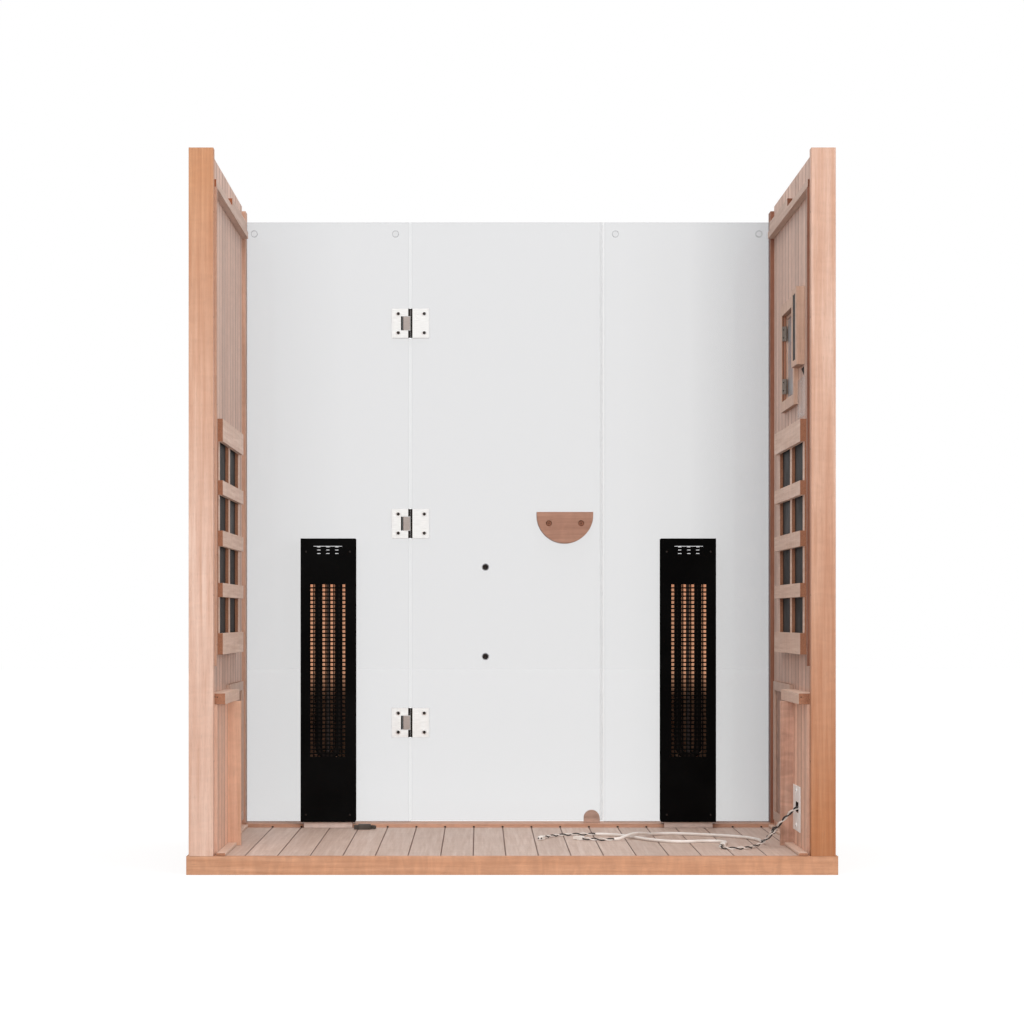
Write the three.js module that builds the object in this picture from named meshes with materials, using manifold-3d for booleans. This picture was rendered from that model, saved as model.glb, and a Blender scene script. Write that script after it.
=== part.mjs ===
// Infrared sauna cabin with a glass front, seen with its rear wall, roof and bench off.
// Millimetres, +Z up. X runs across the cabin, Y from the open rear (-Y) to the glass front (+Y).
// Depths below are counted from the rear plane towards the glass.

import * as THREE from 'three';
import { mergeVertices } from 'three/addons/utils/BufferGeometryUtils.js';
import Module from 'manifold-3d';

const wasm = await Module();
wasm.setup();

// Base
const BASE_WIDTH = 1728;
const BASE_DEPTH = 1168;
const DECK_TOP = 49.5;
const REAR_RAIL_DEPTH = 22;
const FRONT_RAIL_START = 1090;
const FRONT_RAIL_NOSE = 1045;
const FRONT_RAIL_TOP = 60;
const SIDE_RAIL_INNER = 790;
const BOARD_PITCH = 86.65;
const FLOOR_SEAM_OFFSET = -16.7;
const DECK_THICKNESS = 22;
const JOIST_WIDTH = 60;
const JOIST_PLACES = [-520, 0, 520];
const GROOVE_WIDTH = 3;
const GROOVE_DEPTH = 2.5;
const GAP = 0.3;

// Side walls, as distances from the middle of the cabin
const CABIN_HEIGHT = 1928;
const STILE_INNER = 792.5;
const WALL_OUTER = 857.5;
const LINING_FACE = 806.5;
const LINING_THICKNESS = 12;
const REAR_STILE_DEPTH = 38;
const FRONT_POST_START = 1090;
const FRONT_POST_END = 1150;
const FRONT_POST_INNER = 795.5;
const FRONT_POST_TOP = 1914;
const LOWER_LINING_FACE = 785;

// Glass front
const GLASS_IN = 1120;
const GLASS_THICKNESS = 8;
const GLASS_TOP = 1884;
const GLASS_BOTTOM = 53.9;
const GLASS_HALF_WIDTH = 800;
const DOOR_BOTTOM = 65;
const LEFT_GLASS_EDGE = -300;
const DOOR_HINGE_EDGE = -294;
const DOOR_LATCH_EDGE = 287.4;
const RIGHT_GLASS_EDGE = 293.4;
const GROMMET_RADIUS = 9;
const GROMMET_HEIGHT = 1849.5;
const GROMMET_PLACES = [-771.7, -342, 327, 763.6];

// Glass hinges: the pin stands in the middle of the glass, in a notch of the left pane
const PIN_X = -307.3;
const PIN_DEPTH = GLASS_IN + GLASS_THICKNESS / 2;
const PIN_RADIUS = 4;
const PIN_CLEARANCE = 0.4;
const HINGE_HEIGHTS = { top: 1577, middle: 968, bottom: 363 };
const HINGE_HALF_HEIGHT = 44.5;
const HINGE_PLATE = 4.7;
const WALL_LEAF_SPAN = [-45.6, 4.9];
const DOOR_LEAF_SPAN = [16.4, 67.8];
const KNUCKLE_POCKET = -18;
const KNUCKLE_HALF = 9.5;
const KNUCKLE_HALF_HEIGHT = 20.8;
const POCKET_HALF_HEIGHT = 21.4;
const HINGE_ARM_HALF = 6;
const WEB_HALF_HEIGHT = 28;
const NOTCH_HALF_HEIGHT = 29;
const WALL_WEB_START = -33;
const DOOR_WEB_END = 50;
const WEB_CLEARANCE = 1;

// Door fittings
const HANDLE_X = 172.8;
const HANDLE_TOP = 1002.5;
const HANDLE_RADIUS = 85.5;
const HANDLE_STRAIGHT = 9.4;
const HANDLE_THICKNESS = 30;
const HANDLE_SCREWS = [-49, 49];
const HANDLE_SCREW_DROP = 34.5;
const COUNTERBORE_RADIUS = 9;
const COUNTERBORE_DEPTH = 8;
const STOP_X = 254;
const STOP_RADIUS = 24;
const STOP_STRAIGHT = 14;
const STOP_DEPTHS = [1097, 1117];
const STOP_STEP = 1089;
const SEAL_SPAN = [279, 291];
const SEAL_THICKNESS = 13;

// Side wall fittings
const LEDGE_INNER = 787.5;
const LEDGE_HEIGHTS = [1830, 1850];
const ROOF_BLOCK_INNER = 792;
const ROOF_BLOCK_TOP = 1879;
const ROOF_BLOCK_START = 585;
const BATTEN_INNER = 786.5;
const BATTEN_HEIGHTS = [553, 1829.5];
const BATTEN_END = 58;
const GUARD_DEPTHS = [168, 845];
const GUARD_UPRIGHTS = [[168, 213], [482, 530], [800, 845]];
const GUARD_SLATS = [[582, 640], [738, 776], [876, 918], [1015, 1054], [1160, 1221]];
const HEATER_PANEL_THICKNESS = 3;
const UPRIGHT_THICKNESS = 9;
const SLAT_THICKNESS = 12;
const CLEAT_INNER = 764;
const CLEAT_DEPTHS = [38.5, 490];
const CLEAT_HEIGHTS = [451, 480];
const BENCH_BOARD_INNER = 749;
const BENCH_BOARD_DEPTHS = [360, 380];

// Tower heaters
const TOWER_X = 542;
const TOWER_WIDTH = 164;
const TOWER_DEPTHS = [1010, 1095];
const TOWER_HEIGHTS = [68, 920];
const TOWER_WALL = 2.5;
const TOWER_FRONT = 2;
const GRILLE_HEIGHTS = [264, 786];
const GRILLE_COLUMNS = 9;
const GRILLE_PITCH = 12;
const GRILLE_SLOT_WIDTH = 8.5;
const GRILLE_ROWS = 6;
const GRILLE_BAR = 4;
const VENT_HEIGHTS = [868, 905];
const VENT_HALF_WIDTH = 50;
const VENT_SLOTS = [-27, 0, 27];
const VENT_SLOT_SIZE = [11, 22];
const TROUGH_PLACES = [-30, 30];
const TROUGH_RADII = [26, 22];
const TROUGH_STEPS = 8;
const REFLECTOR_SHEET = 1.5;
const REFLECTOR_FRONT = 1036;
const REFLECTOR_HEIGHTS = [245, 800];
const REFLECTOR_BRACKET = 5;
const ELEMENT_RADIUS = 10;
const ELEMENT_DEPTH = 1024.5;
const ELEMENT_BEND_HEIGHT = 296;
const ELEMENT_BEND_STEPS = 8;
const FOOT_WIDTH = 146;
const FOOT_DEPTHS = [1026, 1044.5];

// Fittings on the right wall
const MEDIA_DEPTHS = [425, 775];
const MEDIA_HEIGHTS = [1279, 1589];
const MEDIA_RING = 30;
const MEDIA_PROUD = 13;
const MEDIA_DOOR_FACE = 807;
const MEDIA_DOOR_THICKNESS = 10;
const MEDIA_DOOR_GAP = 2;
const MEDIA_DOOR_RAIL = 8;
const MEDIA_GLASS = 4;
const NICHE_FLOOR = 834;
const CONTROL_DEPTHS = [276, 402];
const CONTROL_HEIGHTS = [1378, 1593];
const CONTROL_PROUD = 23;
const CONTROL_SIDE_BORDER = 30;
const CONTROL_END_BORDER = 16;
const CONTROL_RECESS = 2.5;
const CABLE_COVER_DEPTHS = [180, 345];
const CABLE_COVER_HEIGHTS = [98, 222];
const CABLE_COVER_THICKNESS = 2.7;
const CABLE_SLOT_DEPTHS = [212, 302];
const CABLE_SLOT_HEIGHTS = [148, 178];

// Floor harness: [x, depth, height] along the middle of each lead, from the cable cover to its connector
const LEAD_RADIUS = 4.5;
const LEAD_SIDES = 8;
const LEAD_STEPS = 48;
const FLOOR_LEVEL = DECK_TOP + LEAD_RADIUS + GAP;
const LANDING = FLOOR_LEVEL + 1.2;
const CROSSING_LEVEL = FLOOR_LEVEL + 2 * LEAD_RADIUS + 1;
const LEAD_ROUTES = {
  near: [
    [800, 252, 163], [790, 253, 162.5], [776, 258, 156], [760, 268, 140], [742, 283, 118],
    [726, 297, 96], [713, 303, 79], [700, 302, 67], [685, 291, 58.5], [670, 270, LANDING],
    [657, 245, FLOOR_LEVEL], [641, 222, FLOOR_LEVEL], [620, 208, FLOOR_LEVEL], [597, 209, FLOOR_LEVEL],
    [580, 226, FLOOR_LEVEL], [574, 254, FLOOR_LEVEL], [578, 296, FLOOR_LEVEL], [588, 338, FLOOR_LEVEL],
    [598, 380, FLOOR_LEVEL], [600, 420, FLOOR_LEVEL], [582, 450, FLOOR_LEVEL], [548, 458, FLOOR_LEVEL],
    [513, 446, FLOOR_LEVEL], [480, 439, FLOOR_LEVEL], [449, 448, FLOOR_LEVEL], [417, 479, FLOOR_LEVEL],
    [389, 521, FLOOR_LEVEL], [365, 573, FLOOR_LEVEL], [337, 635, FLOOR_LEVEL], [298, 692, FLOOR_LEVEL],
    [250, 717, FLOOR_LEVEL], [197, 713, FLOOR_LEVEL], [146, 682, FLOOR_LEVEL], [113, 632, FLOOR_LEVEL],
    [94, 574, FLOOR_LEVEL],
  ],
  far: [
    [800, 264, 163], [790, 265, 162.5], [776, 270, 156], [760, 280, 140], [742, 295, 118],
    [724, 315, 96], [714, 340, 79], [709, 378, 65], [708, 432, LANDING], [700, 512, FLOOR_LEVEL],
    [681, 577, FLOOR_LEVEL], [637, 639, FLOOR_LEVEL], [584, 682, FLOOR_LEVEL], [530, 717, FLOOR_LEVEL],
    [481, 739, FLOOR_LEVEL], [441, 733, FLOOR_LEVEL], [405, 687, FLOOR_LEVEL + 2],
    [377, 638, CROSSING_LEVEL - 2], [354, 594, CROSSING_LEVEL], [334, 555, CROSSING_LEVEL - 2],
    [308, 522, FLOOR_LEVEL + 2], [274, 514, FLOOR_LEVEL], [238, 530, FLOOR_LEVEL],
    [208, 551, FLOOR_LEVEL],
  ],
};
const CONNECTOR_SIZE = [30, 16, 11];
const PLUG_X = [-461, -395];
const PLUG_DEPTHS = [950, 976];
const PLUG_HEIGHT = 16;
const PLUG_CHAMFER = 4;

const SIDES = { left: -1, right: 1 };
const depthToY = (depth) => depth - BASE_DEPTH / 2;

// Every piece is a named mesh with its own finish
const cabin = new THREE.Group();
cabin.name = 'infrared_sauna_cabin';

const FINISHES = {
  stile_wood: [0xd9a581, 0.55, 0],
  lining_wood: [0xc9b09f, 0.6, 0],
  floor_wood: [0xcdb4a4, 0.6, 0],
  brown_wood: [0xa97c68, 0.5, 0],
  glass: [0xe6eaec, 0.05, 0],
  satin_steel: [0xe8e7e5, 0.25, 1],
  black_metal: [0x0d0d0d, 0.5, 0.3],
  copper: [0xd99a70, 0.25, 1],
  element_black: [0x221f1e, 0.6, 0],
  carbon: [0x413c3a, 0.7, 0],
  clear_plastic: [0xe4e6e6, 0.2, 0],
  white_plastic: [0xeae6e1, 0.45, 0],
  grey_plastic: [0x55504c, 0.6, 0],
};

function addPiece(name, geometry, finish) {
  const [color, roughness, metalness] = FINISHES[finish];
  const material = new THREE.MeshStandardMaterial({ color, roughness, metalness });
  const mesh = new THREE.Mesh(geometry, material);
  mesh.name = name;
  cabin.add(mesh);
  return mesh;
}

// A block between two corners, with its Y given as depths
function block([x0, x1], [d0, d1], [z0, z1]) {
  const geometry = new THREE.BoxGeometry(Math.abs(x1 - x0), d1 - d0, z1 - z0);
  return geometry.translate((x0 + x1) / 2, depthToY((d0 + d1) / 2), (z0 + z1) / 2);
}

function outline(points) {
  return new THREE.Shape(points.map(([x, y]) => new THREE.Vector2(x, y)));
}

// A plan of [x, depth] points raised between two heights
function raise(points, [z0, z1]) {
  const shape = outline(points.map(([x, depth]) => [x, depthToY(depth)]));
  const geometry = new THREE.ExtrudeGeometry(shape, { depth: z1 - z0, bevelEnabled: false });
  return geometry.translate(0, 0, z0);
}

// An elevation, drawn in x and height, carried through between two depths
function carry(shape, [d0, d1], curveSegments = 8) {
  const geometry = new THREE.ExtrudeGeometry(shape, { depth: d1 - d0, bevelEnabled: false, curveSegments });
  return geometry.rotateX(Math.PI / 2).translate(0, depthToY(d1), 0);
}

function toSolid(geometry) {
  const bare = geometry.clone();
  bare.deleteAttribute('normal');
  bare.deleteAttribute('uv');
  const merged = mergeVertices(bare, 1e-4);
  const vertProperties = new Float32Array(merged.attributes.position.array);
  const triVerts = new Uint32Array(merged.index.array);
  return new wasm.Manifold(new wasm.Mesh({ numProp: 3, vertProperties, triVerts }));
}

function toGeometry(solid) {
  const mesh = solid.getMesh();
  const geometry = new THREE.BufferGeometry();
  geometry.setAttribute('position', new THREE.BufferAttribute(new Float32Array(mesh.vertProperties), 3));
  geometry.setIndex(new THREE.BufferAttribute(new Uint32Array(mesh.triVerts), 1));
  geometry.computeVertexNormals();
  return geometry;
}

function join(...geometries) {
  return toGeometry(geometries.map(toSolid).reduce((whole, piece) => whole.add(piece)));
}

function cut(geometry, ...tools) {
  return toGeometry(tools.map(toSolid).reduce((rest, tool) => rest.subtract(tool), toSolid(geometry)));
}

// Seams of a boarded face between two ends, one board pitch apart
function seams(start, end, first) {
  const places = [];
  for (let place = first; place < end - GROOVE_WIDTH; place += BOARD_PITCH) {
    if (place > start + GROOVE_WIDTH) places.push(place);
  }
  return places;
}

// The [along, out] points of a grooved face, from its start to its end
function groovedFace(start, end, places, face, inward) {
  const points = [[start, face]];
  for (const place of places) {
    points.push([place - GROOVE_WIDTH / 2, face]);
    points.push([place, face + inward * GROOVE_DEPTH]);
    points.push([place + GROOVE_WIDTH / 2, face]);
  }
  points.push([end, face]);
  return points;
}

// Base
function makeBase() {
  const half = BASE_WIDTH / 2;
  const deckHalf = SIDE_RAIL_INNER - GAP;
  addPiece('base_rear_rail', block([-half, half], [0, REAR_RAIL_DEPTH], [0, DECK_TOP]), 'stile_wood');

  const grooveDepths = [GLASS_IN - GAP, GLASS_IN + GLASS_THICKNESS + GAP];
  const grooveHeights = [GLASS_BOTTOM - GAP, FRONT_RAIL_TOP + 1];
  const nose = block([-deckHalf, deckHalf], [FRONT_RAIL_NOSE, FRONT_RAIL_START + 1], [0, FRONT_RAIL_TOP]);
  const frontRail = cut(
    join(block([-half, half], [FRONT_RAIL_START, BASE_DEPTH], [0, FRONT_RAIL_TOP]), nose),
    block([-GLASS_HALF_WIDTH - GAP, LEFT_GLASS_EDGE + GAP], grooveDepths, grooveHeights),
    block([RIGHT_GLASS_EDGE - GAP, GLASS_HALF_WIDTH + GAP], grooveDepths, grooveHeights),
  );
  addPiece('base_front_rail', frontRail, 'stile_wood');

  const railDepths = [REAR_RAIL_DEPTH + GAP, FRONT_RAIL_START - GAP];
  for (const [name, side] of Object.entries(SIDES)) {
    const rail = block([side * SIDE_RAIL_INNER, side * half], railDepths, [0, DECK_TOP]);
    addPiece(`base_${name}_rail`, rail, 'stile_wood');
  }

  const boardsLeft = Math.floor((deckHalf + FLOOR_SEAM_OFFSET) / BOARD_PITCH);
  const firstSeam = FLOOR_SEAM_OFFSET - boardsLeft * BOARD_PITCH;
  const top = groovedFace(-deckHalf, deckHalf, seams(-deckHalf, deckHalf, firstSeam), DECK_TOP, -1);
  const under = DECK_TOP - DECK_THICKNESS;
  const deckDepths = [REAR_RAIL_DEPTH + GAP, FRONT_RAIL_NOSE - GAP];
  const bottom = [[-deckHalf, under]];
  for (const place of JOIST_PLACES) {
    bottom.push([place - JOIST_WIDTH / 2, under], [place - JOIST_WIDTH / 2, 0]);
    bottom.push([place + JOIST_WIDTH / 2, 0], [place + JOIST_WIDTH / 2, under]);
  }
  bottom.push([deckHalf, under]);
  addPiece('floor_deck', carry(outline([...bottom, ...top.reverse()]), deckDepths), 'floor_wood');
}

// Side walls, the same on both sides but for the fittings let into the right one
function makeWall(name, side) {
  const reach = (inner, outer) => [side * inner, side * outer];
  const wallHeights = [DECK_TOP + GAP, CABIN_HEIGHT];
  const wallDepths = [REAR_STILE_DEPTH + GAP, FRONT_POST_START - GAP];
  const onLining = LINING_FACE - GAP;

  const stile = block(reach(STILE_INNER, WALL_OUTER), [0, REAR_STILE_DEPTH], wallHeights);
  addPiece(`${name}_rear_stile`, stile, 'stile_wood');

  const glassPocket = side * (GLASS_HALF_WIDTH + 1);
  const postPlan = [
    [side * FRONT_POST_INNER, FRONT_POST_START],
    [side * FRONT_POST_INNER, GLASS_IN - GAP],
    [glassPocket, GLASS_IN - GAP],
    [glassPocket, GLASS_IN + GLASS_THICKNESS + GAP],
    [side * FRONT_POST_INNER, GLASS_IN + GLASS_THICKNESS + GAP],
    [side * FRONT_POST_INNER, FRONT_POST_END],
    [side * WALL_OUTER, FRONT_POST_END],
    [side * WALL_OUTER, FRONT_POST_START],
  ];
  addPiece(`${name}_front_post`, raise(postPlan, [FRONT_RAIL_TOP + GAP, FRONT_POST_TOP]), 'stile_wood');

  const wallSeams = seams(wallDepths[0], wallDepths[1], wallDepths[0] + BOARD_PITCH / 2);
  const liningBack = LINING_FACE + LINING_THICKNESS;
  const boarded = (face, inward, back, [start, end]) => {
    const inside = wallSeams.filter((place) => place < end - GROOVE_WIDTH);
    const front = groovedFace(start, end, inside, face, inward);
    return [...front, [end, back], [start, back]].map(([depth, x]) => [side * x, depth]);
  };
  const lowerHeights = [wallHeights[0], CLEAT_HEIGHTS[0] - GAP];
  const lowerDepths = [wallDepths[0], BENCH_BOARD_DEPTHS[0] - GAP];
  const lower = raise(boarded(LOWER_LINING_FACE, 1, liningBack - 1, lowerDepths), lowerHeights);
  let lining = join(raise(boarded(LINING_FACE, 1, liningBack, wallDepths), wallHeights), lower);
  let panel = raise(boarded(WALL_OUTER, -1, liningBack + GAP, wallDepths), wallHeights);
  if (name === 'right') {
    const niche = block([LINING_FACE - 1, NICHE_FLOOR], nicheDepths(), nicheHeights());
    const cablePocket = block([LOWER_LINING_FACE - 1, LINING_FACE], CABLE_SLOT_DEPTHS, CABLE_SLOT_HEIGHTS);
    lining = cut(lining, niche, cablePocket);
    panel = cut(panel, niche);
  }
  addPiece(`${name}_lining`, lining, 'lining_wood');
  addPiece(`${name}_wall_panel`, panel, 'stile_wood');

  const ledge = block(reach(LEDGE_INNER, onLining), wallDepths, LEDGE_HEIGHTS);
  addPiece(`${name}_roof_ledge`, ledge, 'lining_wood');
  const blockHeights = [LEDGE_HEIGHTS[1] + GAP, ROOF_BLOCK_TOP];
  const roofBlock = block(reach(ROOF_BLOCK_INNER, onLining), [ROOF_BLOCK_START, wallDepths[1]], blockHeights);
  addPiece(`${name}_roof_block`, roofBlock, 'lining_wood');
  const battenDepths = [REAR_STILE_DEPTH + GAP, BATTEN_END];
  const batten = block(reach(BATTEN_INNER, onLining), battenDepths, BATTEN_HEIGHTS);
  addPiece(`${name}_rear_batten`, batten, 'stile_wood');

  const panelFace = onLining - HEATER_PANEL_THICKNESS;
  const slatBack = panelFace - GAP - UPRIGHT_THICKNESS;
  const guardHeights = [GUARD_SLATS[0][0], GUARD_SLATS.at(-1)[1]];
  addPiece(`${name}_heater_panel`, block(reach(panelFace, onLining), GUARD_DEPTHS, guardHeights), 'carbon');
  const uprightReach = reach(slatBack, panelFace - GAP);
  const slatReach = reach(slatBack - SLAT_THICKNESS, slatBack);
  const uprights = GUARD_UPRIGHTS.map((depths) => block(uprightReach, depths, guardHeights));
  const slats = GUARD_SLATS.map((heights) => block(slatReach, GUARD_DEPTHS, heights));
  addPiece(`${name}_heater_guard`, join(...uprights, ...slats), 'lining_wood');

  const cleat = block(reach(CLEAT_INNER, onLining), CLEAT_DEPTHS, CLEAT_HEIGHTS);
  addPiece(`${name}_bench_cleat`, cleat, 'lining_wood');
  const board = block(reach(BENCH_BOARD_INNER, onLining), BENCH_BOARD_DEPTHS, lowerHeights);
  addPiece(`${name}_bench_board`, board, 'stile_wood');
}

function nicheDepths() {
  return [MEDIA_DEPTHS[0] + MEDIA_RING, MEDIA_DEPTHS[1] - MEDIA_RING];
}

function nicheHeights() {
  return [MEDIA_HEIGHTS[0] + MEDIA_RING, MEDIA_HEIGHTS[1] - MEDIA_RING];
}

// Three glass panes: notched where a hinge passes, drilled for the grommets
function paneOutline(left, right, bottom, notchSide, notchReach) {
  const points = [[left, bottom], [right, bottom]];
  const heights = Object.values(HINGE_HEIGHTS).sort((a, b) => a - b);
  const notch = (height) => [
    [notchSide, height - NOTCH_HALF_HEIGHT], [notchReach, height - NOTCH_HALF_HEIGHT],
    [notchReach, height + NOTCH_HALF_HEIGHT], [notchSide, height + NOTCH_HALF_HEIGHT],
  ];
  const edge = heights.flatMap(notch);
  if (notchSide === right) points.push(...edge);
  points.push([right, GLASS_TOP], [left, GLASS_TOP]);
  if (notchSide === left) points.push(...edge.reverse());
  return outline(points);
}

function makeGlass() {
  const depths = [GLASS_IN, GLASS_IN + GLASS_THICKNESS];
  const wallNotch = PIN_X + WALL_WEB_START - WEB_CLEARANCE;
  const doorNotch = PIN_X + DOOR_WEB_END + WEB_CLEARANCE;
  const left = paneOutline(-GLASS_HALF_WIDTH, LEFT_GLASS_EDGE, GLASS_BOTTOM, LEFT_GLASS_EDGE, wallNotch);
  const door = paneOutline(DOOR_HINGE_EDGE, DOOR_LATCH_EDGE, DOOR_BOTTOM, DOOR_HINGE_EDGE, doorNotch);
  const right = paneOutline(RIGHT_GLASS_EDGE, GLASS_HALF_WIDTH, GLASS_BOTTOM, null, null);
  for (const place of GROMMET_PLACES) {
    const hole = new THREE.Path().absarc(place, GROMMET_HEIGHT, GROMMET_RADIUS, 0, 2 * Math.PI);
    (place < 0 ? left : right).holes.push(hole);
  }
  addPiece('left_glass', carry(left, depths), 'glass');
  addPiece('door_glass', carry(door, depths), 'glass');
  addPiece('right_glass', carry(right, depths), 'glass');
}

// A glass hinge: two clamp plates and a web to each leaf.
// The wall leaf holds the pin and the door leaf the knuckle.
function makeHinge(name, height) {
  const across = ([x0, x1]) => [PIN_X + x0, PIN_X + x1];
  const tall = (half) => [height - half, height + half];
  const platePairs = [
    [GLASS_IN - GAP - HINGE_PLATE, GLASS_IN - GAP],
    [GLASS_IN + GLASS_THICKNESS + GAP, GLASS_IN + GLASS_THICKNESS + GAP + HINGE_PLATE],
  ];
  const webDepths = [GLASS_IN - GAP - 1, GLASS_IN + GLASS_THICKNESS + GAP + 1];
  const throughDepths = [platePairs[0][0] - 1, platePairs[1][1] + 1];

  const plateHeights = tall(HINGE_HALF_HEIGHT);
  const pocketReach = across([KNUCKLE_POCKET, WALL_LEAF_SPAN[1] + 1]);
  const pocket = block(pocketReach, throughDepths, tall(POCKET_HALF_HEIGHT));
  const wallPlates = platePairs.map((depths) => block(across(WALL_LEAF_SPAN), depths, plateHeights));
  const wallWeb = block(across([WALL_WEB_START, WALL_LEAF_SPAN[1]]), webDepths, tall(WEB_HALF_HEIGHT));
  const wallBody = cut(join(...wallPlates, wallWeb), pocket);
  const pin = new THREE.CylinderGeometry(PIN_RADIUS, PIN_RADIUS, 2 * WEB_HALF_HEIGHT - 2, 12);
  pin.rotateX(Math.PI / 2).translate(PIN_X, depthToY(PIN_DEPTH), height);
  addPiece(`hinge_${name}_wall_leaf`, join(wallBody, pin), 'satin_steel');

  const doorPlates = platePairs.map((depths) => block(across(DOOR_LEAF_SPAN), depths, plateHeights));
  const doorWeb = block(across([DOOR_LEAF_SPAN[0] - 1, DOOR_WEB_END]), webDepths, tall(WEB_HALF_HEIGHT));
  const armDepths = [PIN_DEPTH - HINGE_ARM_HALF, PIN_DEPTH + HINGE_ARM_HALF];
  const arm = block(across([0, DOOR_LEAF_SPAN[0] + 1]), armDepths, tall(KNUCKLE_HALF_HEIGHT));
  const knuckleDepths = [PIN_DEPTH - KNUCKLE_HALF, PIN_DEPTH + KNUCKLE_HALF];
  const knuckle = block(across([-KNUCKLE_HALF, KNUCKLE_HALF]), knuckleDepths, tall(KNUCKLE_HALF_HEIGHT));
  const boreRadius = PIN_RADIUS + PIN_CLEARANCE;
  const bore = new THREE.CylinderGeometry(boreRadius, boreRadius, 3 * KNUCKLE_HALF_HEIGHT, 12);
  bore.rotateX(Math.PI / 2).translate(PIN_X, depthToY(PIN_DEPTH), height);
  addPiece(`hinge_${name}_door_leaf`, cut(join(...doorPlates, doorWeb, arm, knuckle), bore), 'satin_steel');
}

// A half disc hanging below (-1) or standing above (+1) a straight edge
function halfDisc(x, edge, radius, straight, way) {
  const shape = new THREE.Shape();
  shape.moveTo(x - radius, edge);
  shape.lineTo(x - radius, edge + way * straight);
  shape.absarc(x, edge + way * straight, radius, Math.PI, 0, way > 0);
  shape.lineTo(x + radius, edge);
  return shape;
}

function makeDoorFittings() {
  const shape = halfDisc(HANDLE_X, HANDLE_TOP, HANDLE_RADIUS, HANDLE_STRAIGHT, -1);
  const inner = [GLASS_IN - GAP - HANDLE_THICKNESS, GLASS_IN - GAP];
  const outer = [GLASS_IN + GLASS_THICKNESS + GAP, GLASS_IN + GLASS_THICKNESS + GAP + HANDLE_THICKNESS];
  const counterbores = HANDLE_SCREWS.map((place) => {
    const radius = COUNTERBORE_RADIUS;
    const drill = new THREE.CylinderGeometry(radius, radius, 2 * COUNTERBORE_DEPTH, 16);
    return drill.translate(HANDLE_X + place, depthToY(inner[0]), HANDLE_TOP - HANDLE_SCREW_DROP);
  });
  addPiece('handle_inside', cut(carry(shape, inner, 20), ...counterbores), 'brown_wood');
  addPiece('handle_outside', carry(shape, outer, 20), 'brown_wood');

  const stop = halfDisc(STOP_X, FRONT_RAIL_TOP + GAP, STOP_RADIUS, STOP_STRAIGHT, 1);
  const step = block(
    [STOP_X - STOP_RADIUS, STOP_X + STOP_RADIUS],
    [STOP_STEP, STOP_DEPTHS[0] + 1],
    [FRONT_RAIL_TOP + GAP, FRONT_RAIL_TOP + GAP + STOP_STRAIGHT],
  );
  addPiece('door_stop', join(carry(stop, STOP_DEPTHS, 16), step), 'brown_wood');

  const middle = GLASS_IN + GLASS_THICKNESS / 2;
  const channelDepths = [inner[1], outer[0]];
  const channel = block([SEAL_SPAN[0], DOOR_LATCH_EDGE + GAP], channelDepths, [0, CABIN_HEIGHT]);
  const stripDepths = [middle - SEAL_THICKNESS / 2, middle + SEAL_THICKNESS / 2];
  const strip = block(SEAL_SPAN, stripDepths, [DOOR_BOTTOM, GLASS_TOP]);
  addPiece('door_seal', cut(strip, channel), 'clear_plastic');
}

// A path through given points, one step to each
class Route extends THREE.Curve {
  constructor(points) {
    super();
    this.points = points;
  }

  getPoint(u, target = new THREE.Vector3()) {
    const place = u * (this.points.length - 1);
    const index = Math.min(Math.floor(place), this.points.length - 2);
    return target.lerpVectors(this.points[index], this.points[index + 1], place - index);
  }

  getPointAt(u, target) {
    return this.getPoint(u, target);
  }

  getTangentAt(u, target) {
    return this.getTangent(u, target);
  }
}

function roundSection(radius, sides) {
  const corner = (index) => (2 * Math.PI * index) / sides;
  return outline(Array.from({ length: sides }, (_, index) => [
    radius * Math.cos(corner(index)), radius * Math.sin(corner(index)),
  ]));
}

function tube(path, radius, sides, steps) {
  return new THREE.ExtrudeGeometry(roundSection(radius, sides), { steps, extrudePath: path });
}

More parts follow.
